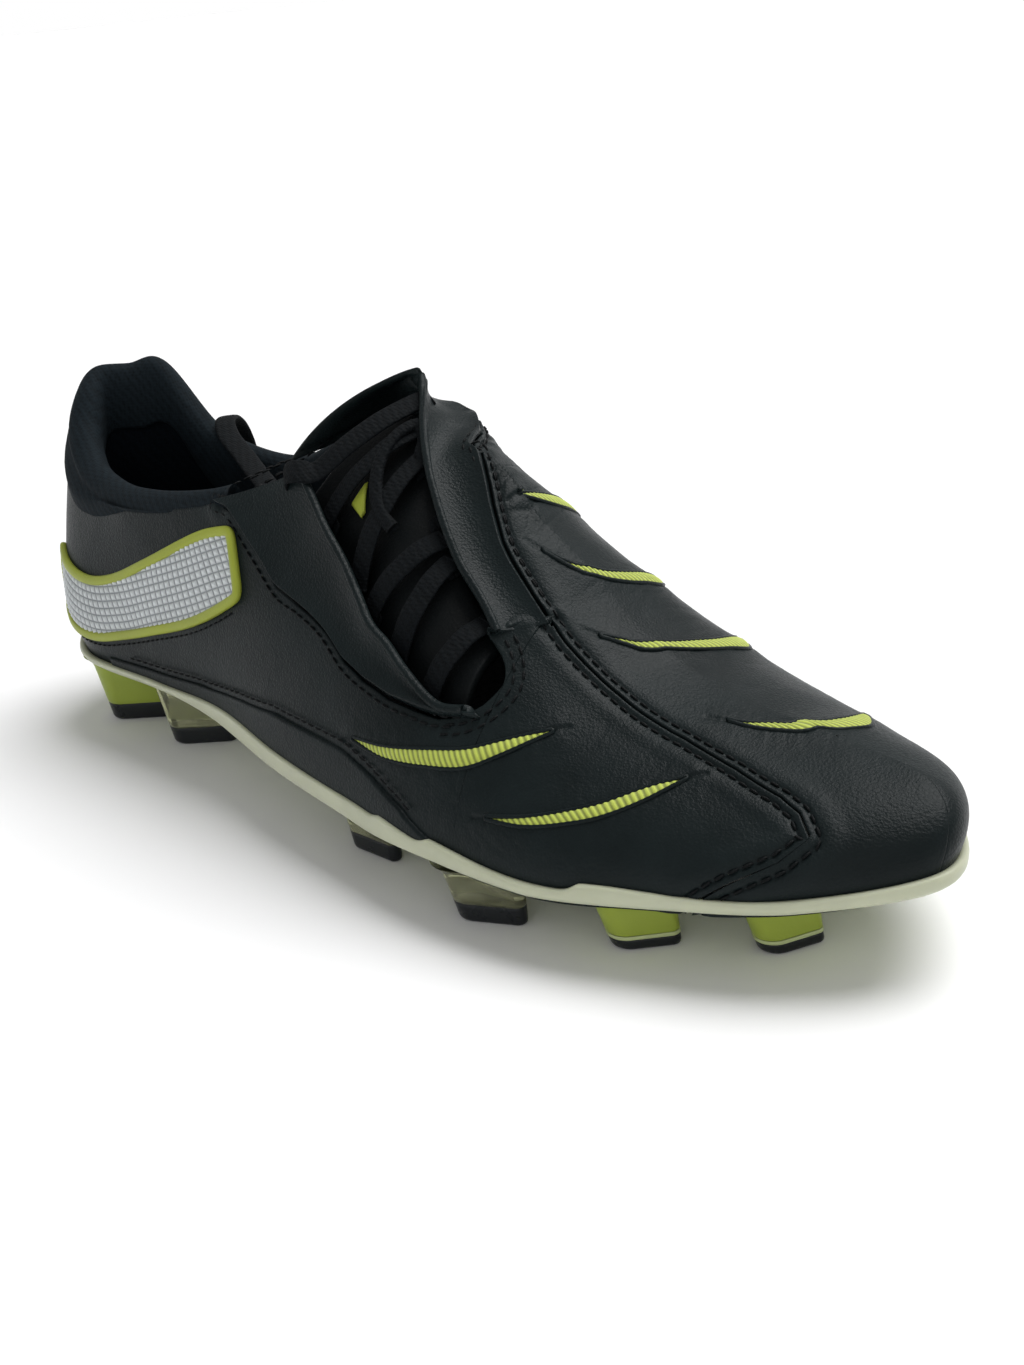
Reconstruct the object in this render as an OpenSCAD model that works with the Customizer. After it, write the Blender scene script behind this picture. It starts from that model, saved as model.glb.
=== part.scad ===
/* [Fit] */
// Overall length of the shoe
shoe_length = 300; // [240:5:330]
// Thickness of the outer leather
leather_t = 1.4; // [1:0.1:1.6]
// Thickness of the textile lining
lining_t = 1; // [0.6:0.1:1.2]

/* [Outsole] */
// Thickness of the stiff plate under the foot
plate_t = 3; // [2.5:0.1:3.2]
// Thickness of the rim that stands up around the upper
rim_t = 1.9; // [1.4:0.1:2.4]
// Height of the black wear tip on each heel stud
heel_tip_h = 5; // [3:0.5:7]
// Height of the black wear tip on each forefoot stud
fore_tip_h = 2.5; // [2:0.5:5]
// How much each stud narrows toward the ground, top size over bottom size
stud_flare = 1.3; // [1.1:0.05:1.4]

/* [Footbed] */
// Thickness of the insole board
board_t = 2; // [1.5:0.1:2.2]
// Thickness of the removable sockliner
liner_t = 3; // [2:0.1:4]

/* [Upper trims] */
// Height of the side crest above the leather
crest_h = 1; // [0.6:0.1:1.4]
// Width of the raised border around the side crest
crest_border = 2.2; // [1.6:0.1:3]
// Height of the textile in the slashes above the leather
slash_h = 0.5; // [0.3:0.1:0.8]

/* [Closure] */
// Width of the flat lace
lace_w = 6.5; // [5:0.5:8]
// Thickness of the flat lace
lace_t = 1.2; // [0.9:0.1:1.3]
// Thickness of the padded tongue
tongue_t = 2.6; // [2:0.1:3]

/* [Hidden] */
$fn = 48;
e0 = 0.02;

// Stations around the foot, 0 is the back of the heel, 6 the outer side, 12 the toe, 18 the inner side.
// foot line x y z, top line x y z, plan direction, lower pull out and up, upper pull out and down
ST = [
 [-147, 1, 23, -150, 0, 93, 180, 7, 18, 3, 22],
 [-144, -12, 23, -146, -9, 88, 205, 7, 17, 3, 20],
 [-137, -23, 23, -138, -17, 79, 230, 7, 16, 4, 18],
 [-118, -33, 23, -122, -23, 71, 258, 5, 16, 4, 17],
 [-85, -34, 23, -95, -27, 69, 270, 2, 16, 4, 16],
 [-52, -36, 23, -60, -25, 74, 272, 2, 16, 5, 16],
 [-18, -43, 21, -27, -18, 84, 270, 2, 15, 9, 14],
 [13, -47, 19, 9, 4, 91, 268, 3, 13, 30, 10],
 [41, -50, 17, 36, 5, 72, 272, 3, 12, 32, 4],
 [73, -48, 16, 65, 5, 51, 282, 4, 12, 30, 3],
 [99, -39, 17.5, 92, 5, 43, 300, 4, 12, 26, 3],
 [124, -27, 19, 115, 5, 40, 325, 4, 10, 22, 2.5],
 [144, -6, 22, 128, 5, 38.5, 360, 3, 9, 15, 2],
 [134, 15, 20.5, 115, 5, 40, 400, 5, 10, 23, 3],
 [112, 31, 18, 92, 5, 43, 424, 4, 11, 26, 4],
 [83, 41, 17, 65, 5, 51, 442, 4, 11, 30, 5],
 [51, 42, 19, 36, 5, 72, 448, 2, 11, 28, 7],
 [20, 39, 22, 9, 4, 91, 451, 2, 14, 29, 9],
 [-14, 36, 25, -9, 13, 104, 453, 0, 18, 15, 18],
 [-52, 31, 25, -39, 18, 88, 453, 0, 18, 7, 19],
 [-85, 32, 23, -79, 26, 69, 452, 1, 17, 4, 16],
 [-118, 31, 23, -116, 24, 73, 462, 4, 16, 4, 17],
 [-137, 22, 23, -134, 18, 93, 490, 7, 16, 4, 22],
 [-144, 12, 23, -144, 10, 93, 515, 7, 17, 3, 22]];
ORG = [-3, -4, 0];

CH = [for (s = ST) [s[0], s[1], s[2], s[3], s[4], s[5], cos(s[6]), sin(s[6]), s[7], s[8], s[9], s[10]]];
function wrap(i) = ((i % 24) + 24) % 24;
function cr(a, b, c, d, t) = b + (c - a) * (t / 2) + (2 * a - 5 * b + 4 * c - d) * (t * t / 2) + (3 * b - a - 3 * c + d) * (t * t * t / 2);
function chan(u) = let (i = floor(u), t = u - i) cr(CH[wrap(i - 1)], CH[wrap(i)], CH[wrap(i + 1)], CH[wrap(i + 2)], t);
function mix(a, b, t) = a + (b - a) * t;
function clamp(x, a, b) = min(b, max(a, x));
function unit(v) = v / norm(v);
function sstep(a, b, x) = let (t = clamp((x - a) / (b - a), 0, 1)) t * t * (3 - 2 * t);

// underside and top of the plate along the shoe
function under_z(x) = lookup(x, [[-160, 19.8], [-140, 19.4], [-85, 19.4], [-52, 19], [-18, 17.2], [13, 15.4], [41, 13.4], [73, 12.6], [99, 14], [124, 15.6], [150, 18.6]]);
function floor_z(x) = under_z(x) + plate_t;

// the outside of the upper: u around the shoe, v from the foot line (0) to the top line (1), below 0 the lasting margin
function dir_of(c) = unit([c[6], c[7], 0]);
function surf(u, v) = let (c = chan(u), n = dir_of(c), b = [c[0], c[1], c[2]], t = [c[3], c[4], c[5]],
    p1 = b + n * c[8] + [0, 0, c[9]], p2 = t + n * c[10] - [0, 0, c[11]], s = 1 - v)
  v < 0 ? [b[0], b[1], mix(b[2], floor_z(b[0]) + e0, -v / 0.1)]
        : b * s * s * s + p1 * (3 * s * s * v) + p2 * (3 * s * v * v) + t * v * v * v;
function nrm_raw(u, v) = v < 0 ? dir_of(chan(u)) :
  let (q = clamp(v, 0.02, 0.98), du = surf(u + 0.02, q) - surf(u - 0.02, q), dv = surf(u, q + 0.01) - surf(u, q - 0.01), m = unit(cross(du, dv)), d = dir_of(chan(u)))
  (m * d > 0 ? m : -m);
function ridge(u) = let (k = min(u, 24 - u)) k >= 7 && k <= 12;
function nrm(u, v) = let (n = nrm_raw(u, v), q = 0.5 * clamp((v - 0.9) / 0.1, 0, 1))
  (v > 0.9 && ridge(wrapf(u))) ? unit(n * (1 - q) + nrm_raw(24 - wrapf(u), v) * q) : n;
function wrapf(u) = u - 24 * floor(u / 24);
function skin_pt(u, v, off) = surf(u, v) + nrm(u, v) * off;

// k runs heel to toe, w runs from the outer foot line (0) over the ridge (1) to the inner foot line (2)
function kw_u(p) = p[1] <= 1 ? p[0] : 24 - p[0];
function kw_v(p) = p[1] <= 1 ? p[1] : 2 - p[1];
function kw_pt(p, off) = skin_pt(kw_u(p), kw_v(p), off);
// lean of the front edge of the outer quarter
function lean(p) = let (w = p[1], k = p[0], s = w < 0.43 ? lookup(w, [[-0.1, -0.62], [0, -0.58], [0.15, -0.36], [0.3, -0.1], [0.43, 0]]) : 0,
    b = k < 10.87 ? clamp((k - 9.5) / 1.37, 0, 1) : clamp((12 - k) / 1.13, 0, 1)) [k + s * b, w];

// polyline of hand-picked points read as a smooth curve, s from 0 to 1
function along(P, s) = let (n = len(P) - 1, x = clamp(s, 0, 1) * n, i = min(n - 1, floor(x)), t = x - i)
  cr(P[max(0, i - 1)], P[i], P[i + 1], P[min(n, i + 2)], t);
function along_lin(P, s) = let (n = len(P) - 1, x = clamp(s, 0, 1) * n, i = min(n - 1, floor(x))) mix(P[i], P[i + 1], x - i);

// closed shell from two grids of points, rows by columns; loop joins the last row to the first
module slab(A, B, loop = false) {
  n = len(A); m = len(A[0]);
  pts = concat([for (r = A) for (p = r) p - ORG], [for (r = B) for (p = r) p - ORG]);
  i0 = floor(n / 2); j0 = floor(m / 2);
  fl = cross(A[i0][j0] - A[i0 - 1][j0], A[i0][j0] - A[i0][j0 - 1]) * (A[i0][j0] - B[i0][j0]) > 0;
  function a(i, j) = (i % n) * m + j;
  function b(i, j) = n * m + (i % n) * m + j;
  function q(p0, p1, p2, p3) = fl ? [[p0, p2, p1], [p0, p3, p2]] : [[p0, p1, p2], [p0, p2, p3]];
  ni = loop ? n - 1 : n - 2;
  F = [for (i = [0 : ni]) for (j = [0 : m - 2]) each q(a(i, j), a(i + 1, j), a(i + 1, j + 1), a(i, j + 1))];
  G = [for (i = [0 : ni]) for (j = [0 : m - 2]) each q(b(i, j), b(i, j + 1), b(i + 1, j + 1), b(i + 1, j))];
  H = [for (i = [0 : ni]) each concat(q(a(i, 0), b(i, 0), b(i + 1, 0), a(i + 1, 0)), q(a(i, m - 1), a(i + 1, m - 1), b(i + 1, m - 1), b(i, m - 1)))];
  K = loop ? [] : [for (j = [0 : m - 2]) each concat(q(a(0, j), a(0, j + 1), b(0, j + 1), b(0, j)), q(a(n - 1, j), b(n - 1, j), b(n - 1, j + 1), a(n - 1, j + 1)))];
  polyhedron(pts, concat(F, G, H, K), convexity = 8);
}
// grid in k and w, as a shell between two offsets; zip closes the last row (the toe line) on itself
module panel(G, t0, t1) { slab([for (r = G) [for (p = r) kw_pt(p, t0)]], [for (r = G) [for (p = r) kw_pt(p, t1)]]); }
module panel_uv(G, t0, t1, loop = false) { slab([for (r = G) [for (p = r) skin_pt(p[0], p[1], t0)]], [for (r = G) [for (p = r) skin_pt(p[0], p[1], t1)]], loop); }
module zipped(G, t0, t1) {
  n = len(G); m = len(G[0]); h = (m - 1) / 2; L = n - 1;
  pts = concat([for (r = G) for (p = r) kw_pt(p, t0) - ORG], [for (r = G) for (p = r) kw_pt(p, t1) - ORG]);
  function a(i, j) = i == L ? i * m + min(j, m - 1 - j) : i * m + j;
  function b(i, j) = n * m + a(i, j);
  function q(p0, p1, p2, p3) = [[p0, p1, p2], [p0, p2, p3]];
  F = [for (i = [0 : n - 2]) for (j = [0 : m - 2]) each q(a(i, j), a(i, j + 1), a(i + 1, j + 1), a(i + 1, j))];
  B = [for (i = [0 : n - 2]) for (j = [0 : m - 2]) each q(b(i, j), b(i + 1, j), b(i + 1, j + 1), b(i, j + 1))];
  H = [for (i = [0 : n - 2]) each concat(q(a(i, 0), a(i + 1, 0), b(i + 1, 0), b(i, 0)), q(a(i, m - 1), b(i, m - 1), b(i + 1, m - 1), a(i + 1, m - 1)))];
  K = [for (j = [0 : m - 2]) each q(a(0, j), b(0, j), b(0, j + 1), a(0, j + 1))];
  T = concat(F, B, H, K);
  polyhedron(pts, T, convexity = 10);
}
function grid(A, B, n, m) = [for (i = [0 : n]) [for (j = [0 : m]) mix(A(i / n), B(i / n), j / m)]];

// plan outline at an offset from the foot line
NU = 96;
function foot_xy(off) = [for (i = [0 : NU - 1]) let (c = chan(i * 24 / NU), n = dir_of(c)) [c[0] + n[0] * off - ORG[0], c[1] + n[1] * off - ORG[1]]];
XS = [-160, -140, -120, -100, -85, -70, -52, -35, -18, 0, 13, 27, 41, 57, 73, 86, 99, 112, 124, 137, 150];
module layer(lo, hi, off) intersection() {
  translate([0, 0, -1]) linear_extrude(60) polygon(foot_xy(off));
  rotate([90, 0, 0]) linear_extrude(140, center = true)
    polygon(concat([for (x = XS) [x - ORG[0], under_z(x) + lo]], [for (i = [len(XS) - 1 : -1 : 0]) [XS[i] - ORG[0], under_z(XS[i]) + hi]]));
}

// ---- sole ----
module outsole_plate() color([0.78, 0.8, 0.66]) { layer(0, plate_t - 1, -4); layer(plate_t - 1.4, plate_t, 0.05); }
module outsole_rim() color([0.82, 0.84, 0.7]) {
  A = [for (i = [0 : NU - 1]) let (c = chan(i * 24 / NU), n = dir_of(c), b = [c[0], c[1], 0]) [
    b + n * (0.3 + rim_t * 0.6) + [0, 0, under_z(c[0]) + 1.2], b + n * (0.3 + rim_t) + [0, 0, under_z(c[0]) + 2.1], b + n * (0.3 + rim_t) + [0, 0, c[2] - 0.5], b + n * (0.3 + rim_t * 0.8) + [0, 0, c[2]]]];
  B = [for (i = [0 : NU - 1]) let (c = chan(i * 24 / NU), n = dir_of(c), b = [c[0], c[1], 0] + n * 0.3) [
    b + [0, 0, under_z(c[0]) + 1.2], b + [0, 0, under_z(c[0]) + 2.1], b + [0, 0, c[2] - 0.5], b + [0, 0, c[2]]]];
  slab(A, B, true);
}
// stud: blade x y at the ground, heading, length, width, rear lean and front rake, tip height
STUDS = [
 [-119, -20, 28, 19, 10, 0.06, 0.28, 5],
 [-87, -20, 28, 19, 10, 0.06, 0.28, 5],
 [-119, 18, -28, 19, 10, 0.06, 0.28, 5],
 [-87, 18, -28, 19, 10, 0.06, 0.28, 5],
 [8, -36, -10, 17, 8, 0.06, 0.5, 2.5],
 [54, -42, 12, 17, 9, 0.06, 0.5, 2.5],
 [88, -30, 32, 15, 9, 0.06, 0.6, 2.5],
 [113, -13, 50, 14, 8.5, 0.06, 0.6, 2.5],
 [30, 33, -4, 17, 9, 0.06, 0.5, 2.5],
 [72, 32, -16, 16, 9, 0.06, 0.6, 2.5],
 [106, 20, -36, 14, 8.5, 0.06, 0.7, 2.5]];
function stud_tip(i) = i < 4 ? heel_tip_h : fore_tip_h;
module blade(l, w) { hull() { translate([l / 2 - w * 0.22, 0]) circle(w * 0.22, $fn = 16); translate([-l / 2 + w / 2, 0]) circle(w / 2, $fn = 24); } }
module stud_full(i) {
  s = STUDS[i]; h = under_z(s[0]) + 4;
  translate([s[0] - ORG[0], s[1] - ORG[1], 0]) rotate(s[2])
    hull() {
      linear_extrude(0.01) blade(s[3], s[4]);
      translate([-(s[6] - s[5]) * h * 0.35, 0, h]) linear_extrude(0.01) blade(s[3] * stud_flare, s[4] * stud_flare);
    }
}
module below_plate(drop) rotate([90, 0, 0]) linear_extrude(200, center = true)
  polygon(concat([[-170, -5]], [for (x = XS) [x - ORG[0], under_z(x) - drop]], [[170, -5]]));
module stud(i) intersection() { stud_full(i); below_plate(e0); translate([-200, -100, stud_tip(i) + e0]) cube([400, 200, 40]); }
module tip(i) intersection() { stud_full(i); translate([-200, -100, -1]) cube([400, 200, stud_tip(i) + 1]); }
lime = [0.74, 0.82, 0.22]; smoke = [0.5, 0.52, 0.44]; dark = [0.08, 0.09, 0.1]; hide = [0.13, 0.14, 0.15];
module stud_heel_outer_rear() color(lime) stud(0);
module tip_heel_outer_rear() color(dark) tip(0);
module stud_heel_outer_front() color(smoke) stud(1);
module tip_heel_outer_front() color(dark) tip(1);
module stud_heel_inner_rear() color(lime) stud(2);
module tip_heel_inner_rear() color(dark) tip(2);
module stud_heel_inner_front() color(smoke) stud(3);
module tip_heel_inner_front() color(dark) tip(3);
module stud_fore_outer_a() color(smoke) stud(4);
module tip_fore_outer_a() color(dark) tip(4);
module stud_fore_outer_b() color(smoke) stud(5);
module tip_fore_outer_b() color(dark) tip(5);
module stud_fore_outer_c() color(lime) stud(6);
module tip_fore_outer_c() color(dark) tip(6);
module stud_fore_outer_d() color(lime) stud(7);
module tip_fore_outer_d() color(dark) tip(7);
module stud_fore_inner_a() color(smoke) stud(8);
module tip_fore_inner_a() color(dark) tip(8);
module stud_fore_inner_b() color(lime) stud(9);
module tip_fore_inner_b() color(dark) tip(9);
module stud_fore_inner_c() color(lime) stud(10);
module tip_fore_inner_c() color(dark) tip(10);

// ---- inside ----
module insole_board() color([0.72, 0.66, 0.52]) layer(plate_t + e0, plate_t + board_t, -4);
module sockliner() color([0.2, 0.21, 0.23]) layer(plate_t + board_t + 0.3, plate_t + board_t + 0.3 + liner_t, -6.6);
// how far the lining stands in from the outside of the upper
function pad_in(u, v) = let (k = min(wrapf(u), 24 - wrapf(u))) 2.7 + 4 * (1 - sstep(4.4, 5.4, k)) * sstep(0.3, 0.7, v);
function lining_top(u) = lookup(wrapf(u), [[0, 0.86], [4.8, 0.84], [5.4, 0.6], [5.9, 0.36], [8, 0.32], [8.6, 0.62], [9, 0.86], [12, 0.86], [15.6, 0.86], [17, 0.8], [17.8, 0.76], [18.6, 0.8], [19.2, 0.84], [24, 0.86]]);
module lining(u0, u1, n) {
  G = [for (i = [0 : n]) let (u = mix(u0, u1, i / n)) [for (j = [0 : 8]) [u, mix(-0.09, lining_top(u), j / 8)]]];
  slab([for (r = G) [for (p = r) skin_pt(p[0], p[1], -pad_in(p[0], p[1]))]], [for (r = G) [for (p = r) skin_pt(p[0], p[1], -pad_in(p[0], p[1]) - lining_t)]]);
}
module heel_lining() color([0.1, 0.11, 0.12]) lining(-4.5, 4.5, 24);
module outer_lining() color([0.1, 0.11, 0.12]) lining(4.51, 9.5, 14);
module toe_lining() color([0.1, 0.11, 0.12]) lining(9.51, 14.5, 14);
module inner_lining() color([0.1, 0.11, 0.12]) lining(14.51, 19.49, 14);
module collar_foam() color([0.25, 0.26, 0.28]) {
  G = [for (i = [0 : 36]) let (u = -4.3 + i * 8.6 / 36) [for (j = [0 : 5]) [u, mix(0.66, 0.84, j / 5)]]];
  slab([for (r = G) [for (p = r) skin_pt(p[0], p[1], -leather_t - 0.1)]], [for (r = G) [for (p = r) skin_pt(p[0], p[1], -pad_in(p[0], p[1]) + 0.5)]]);
}
module heel_counter() color([0.85, 0.85, 0.82]) panel_uv([for (i = [0 : 24]) let (u = -3 + i / 4) [for (j = [0 : 6]) [u, mix(0.02, 0.6, j / 6)]]], -leather_t - 0.35, -2.5);
module toe_puff() color([0.85, 0.85, 0.82]) panel_uv([for (i = [0 : 16]) let (u = 10 + i / 4) [for (j = [0 : 7]) [u, mix(0.03, 0.8, j / 7)]]], -leather_t - 0.35, -2.5);
module collar_roll() color(dark) {
  // padded top line from the outer eyestay round the heel to the inner eyestay
  P = [for (i = [0 : 48]) let (u = -4.8 + i * 9.9 / 48, c = chan(u), n = dir_of(c), t = [c[3], c[4], c[5]] - n * 5.3 + [0, 0, -0.6])
    [for (a = [0 : 30 : 330]) t + n * (3.6 * cos(a)) + [0, 0, 4.2 * sin(a)]]];
  tube(P);
}
// closed tube from a list of rings
module tube(P) {
  n = len(P); m = len(P[0]);
  pts = [for (r = P) for (p = r) p - ORG];
  c = cross(P[1][0] - P[0][0], P[0][1] - P[0][0]) * (P[0][0] - P[0][floor(m / 2)]) > 0;
  function q(p0, p1, p2, p3) = c ? [[p0, p2, p1], [p0, p3, p2]] : [[p0, p1, p2], [p0, p2, p3]];
  F = [for (i = [0 : n - 2]) for (j = [0 : m - 1]) each q(i * m + j, (i + 1) * m + j, (i + 1) * m + (j + 1) % m, i * m + (j + 1) % m)];
  E0 = [for (j = [0 : m - 1]) c ? m - 1 - j : j];
  E1 = [for (j = [0 : m - 1]) (n - 1) * m + (c ? j : m - 1 - j)];
  polyhedron(pts, concat(F, [E0, E1]), convexity = 8);
}

// ---- outer upper ----
// double seam of the vamp, as w over k
function seam_w(k) = lookup(k, [[1, 1], [5.2, 1], [5.6, 1.13], [6.2, 1.19], [6.75, 1.12], [7.05, 1.02], [7.3, 0.96], [7.55, 0.91], [7.8, 0.87], [8.2, 0.83], [8.55, 0.8], [9.05, 0.78], [9.65, 0.74], [10.1, 0.69], [10.5, 0.62], [10.7, 0.56], [10.87, 0.45], [10.9, -0.09], [12, -0.09]]);
VK = concat([for (k = [1.3 : 0.35 : 5.2]) k], [5.4, 5.6, 5.9, 6.2, 6.5, 6.75, 6.9, 7.05, 7.3, 7.55, 7.8, 8.2, 8.6, 9.05, 9.4, 9.8, 10.1, 10.4, 10.6, 10.78, 10.87, 10.876, 10.882, 10.888, 10.894, 10.9, 11.05, 11.2, 11.4, 11.6, 11.8, 12]);
module vamp_and_inner_quarter() color(hide)
  zipped([for (k = VK) [for (j = [0 : 18]) lean([k, mix(seam_w(k) + (k < 10.88 ? 0.006 : 0), 2.09, j / 18)])]], 0, -leather_t);
// top edge of the outer quarter, as w over k
function quarter_top(k) = lookup(k, [[1, 1], [5.1, 1], [5.3, 0.94], [5.6, 0.76], [5.95, 0.6], [6.25, 0.54], [6.57, 0.48], [6.85, 0.42], [7.1, 0.4], [7.44, 0.4], [7.75, 0.42], [8, 0.44], [8.18, 0.485], [8.3, 0.54], [8.35, 0.59], [8.36, 0.6], [8.365, 0.81], [8.42, 0.806], [8.55, 0.795]]);
QK = concat([for (k = [1.3 : 0.4 : 5]) k], [5.1, 5.3, 5.45, 5.6, 5.78, 5.95, 6.25, 6.57, 6.85, 7.1, 7.44, 7.75, 8, 8.18, 8.3, 8.345, 8.36, 8.365, 8.39, 8.42, 8.6, 8.9, 9.2, 9.5, 9.8, 10.1, 10.4, 10.6, 10.78, 10.87]);
module outer_quarter() color(hide) {
  panel([for (k = QK) [for (j = [0 : 12]) lean([k, mix(-0.09, (k < 8.45 ? quarter_top(k) : seam_w(k)) - 0.006, j / 12)])]], 0, -leather_t);
}
module heel_cap() color(hide) panel_uv([for (i = [0 : 12]) let (u = -1.28 + i * 2.56 / 12) [for (j = [0 : 12]) [u, mix(-0.09, 1, j / 12)]]], 0, -leather_t);
module heel_clip() color([0.12, 0.13, 0.12]) panel_uv([for (i = [0 : 16]) let (u = -1.9 + i * 3.8 / 16, top = 0.12 + 0.36 * sqrt(max(0.02, 1 - pow(u / 1.95, 2)))) [for (j = [0 : 6]) [u, mix(0.03, top, j / 6)]]], 1.1, 0.03);
// outer edge of the throat and inner flap edge, from the base of the throat up, in space
LE = [[45, -37, 46.5], [38, -38, 46.5], [27, -36, 51], [19, -34, 55.5], [13, -33, 58.5], [6, -30, 63.5], [-3, -26, 69], [-12, -23, 74.5], [-19, -20, 79], [-26, -17.5, 85]];
FE = [[42.5, -23, 58], [40, -22, 60], [35, -20, 63.5], [27, -18, 69.5], [20, -15, 75.5], [13, -11, 81.5], [4, -5, 88.5], [-3, 1, 95], [-9, 7.5, 100], [-14, 13, 103.5]];
// lower seam of the outer eyestay and the seam of the inner flap, from the base up
LS = [[8.34, 0.5], [8, 0.445], [7.75, 0.425], [7.44, 0.405], [7.1, 0.405], [6.85, 0.425], [6.57, 0.485], [6.25, 0.545], [5.95, 0.605], [5.6, 0.765], [5.3, 0.945], [5.12, 1]];
FS = [[8.42, 0.806], [8.2, 0.826], [7.95, 0.85], [7.8, 0.866], [7.55, 0.906], [7.3, 0.956], [7.05, 1.014], [6.75, 1.114], [6.2, 1.184], [5.6, 1.124], [5.2, 0.998]];
// free grid between an edge in space and a seam on the upper, shell inward
function gnorm(G, i, j) = let (n = len(G) - 1, m = len(G[0]) - 1)
  unit(cross(G[min(n, i + 1)][j] - G[max(0, i - 1)][j], G[i][min(m, j + 1)] - G[i][max(0, j - 1)]));
function reach(s) = s < 0.88 ? s * 1.1 : 0.968 + (s - 0.88) * 0.266;
module free_panel(G, t0, t1, s) slab(
  [for (i = [0 : len(G) - 1]) [for (j = [0 : len(G[0]) - 1]) G[i][j] + gnorm(G, i, j) * t0 * s]],
  [for (i = [0 : len(G) - 1]) [for (j = [0 : len(G[0]) - 1]) G[i][j] + gnorm(G, i, j) * t1 * s]]);
EG = [for (i = [0 : 30]) let (s = i / 30, a = along(LE, reach(s)), b = kw_pt(along_lin(LS, s), 0), n = unit(cross(along(LE, s + 0.02) - along(LE, s - 0.02), b - a)))
  [for (j = [0 : 4]) let (t = j / 4) mix(a, b, t) + n * (-1.2 * 4 * t * (1 - t))]];
module outer_eyestay() color(hide) free_panel(EG, 0, -leather_t - 0.2, -1);
FG = [for (i = [0 : 30]) let (s = i / 30, a = along(FE, reach(s)), b = kw_pt(along_lin(FS, s), 0), n = unit(cross(along(FE, s + 0.02) - along(FE, s - 0.02), b - a)))
  [for (j = [0 : 5]) let (t = j / 5) mix(a, b, t) + n * ((1.4 + 2.4 * sstep(0.55, 1, s)) * 4 * t * (1 - t))]];
module inner_eyestay_flap() color(hide) free_panel(FG, 0, -leather_t - 0.2, 1);
// foxing strips over the rim
module outer_foxing() color(hide) panel([for (i = [0 : 24]) let (k = 3.4 + i * 4.8 / 24, h = lookup(k, [[3.4, 0.06], [4.4, 0.08], [5, 0.11], [5.5, 0.16], [6, 0.2], [7, 0.21], [7.4, 0.19], [7.8, 0.15], [8.2, 0.06]])) [for (j = [0 : 3]) [k, mix(0.03, h, j / 3)]]], 1, 0.2);
module inner_foxing() color(hide) panel([for (i = [0 : 24]) let (k = 3.4 + i * 4.8 / 24, h = lookup(k, [[3.4, 0.06], [4.4, 0.08], [5, 0.11], [5.5, 0.16], [6, 0.2], [7, 0.21], [7.4, 0.19], [7.8, 0.15], [8.2, 0.06]])) [for (j = [0 : 3]) [k, mix(1.97, 2 - h, j / 3)]]], 1, 0.2);
// side crest: a plain blunt band, upper and lower edge from the heel forward
CU = [[2, 0.5], [2.8, 0.5], [3.3, 0.51], [3.7, 0.57], [4.3, 0.71], [4.75, 0.81], [5.05, 0.85], [5.35, 0.84]];
CL = [[2, 0.24], [2.8, 0.18], [3.3, 0.18], [3.7, 0.24], [4.2, 0.33], [4.75, 0.42], [5.2, 0.51], [5.5, 0.57]];
IU = [[2, 0.5], [2.8, 0.5], [3.3, 0.51], [3.7, 0.55], [4.3, 0.62], [4.8, 0.66], [5.2, 0.67], [5.6, 0.64]];
IL = [[2, 0.24], [2.8, 0.18], [3.3, 0.18], [3.7, 0.22], [4.2, 0.27], [4.8, 0.32], [5.3, 0.37], [5.66, 0.41]];
function crest_side(p, side) = side > 0 ? p : [p[0], 2 - p[1]];
// inset of the crest field from its border, as a share of the half height
crest_in = crest_border / 16;
module crest_field(U, L, side, k1) {
  G = [for (i = [0 : 22]) let (k = mix(2.2, k1 - 0.07, i / 22), a = lookup(k, U), b = lookup(k, L), m = (a + b) / 2) [for (j = [0 : 4]) crest_side([k, mix(mix(b, m, crest_in * 1.6), mix(a, m, crest_in * 1.6), j / 4)], side)]];
  panel(G, crest_h, 0.4);
}
// raised border as one closed band around the crest
module crest_band(U, L, side, k1) {
  R = concat([for (i = [0 : 19]) along(U, i / 20)], [for (i = [0 : 5]) mix(U[7], L[7], i / 6)], [for (i = [0 : 19]) along(L, 1 - i / 20)], [for (i = [0 : 5]) mix(L[0], U[0], i / 6)]);
  G = [for (p = R) let (k = clamp(p[0], 2.13, k1), q = (lookup(k, U) + lookup(k, L)) / 2) [for (j = [0 : 2]) crest_side([mix(p[0], k, j / 2), mix(p[1], q, crest_in * 0.92 * j / 2)], side)]];
  slab([for (r = G) [for (p = r) kw_pt(p, crest_h + 0.5)]], [for (r = G) [for (p = r) kw_pt(p, 0.3)]], true);
}
module outer_crest() color([0.86, 0.87, 0.88]) crest_field(CU, CL, 1, 5.25);
module inner_crest() color([0.86, 0.87, 0.88]) crest_field(IU, IL, -1, 5.5);
module outer_crest_border() color(lime) crest_band(CU, CL, 1, 5.25);
module inner_crest_border() color(lime) crest_band(IU, IL, -1, 5.5);
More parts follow.
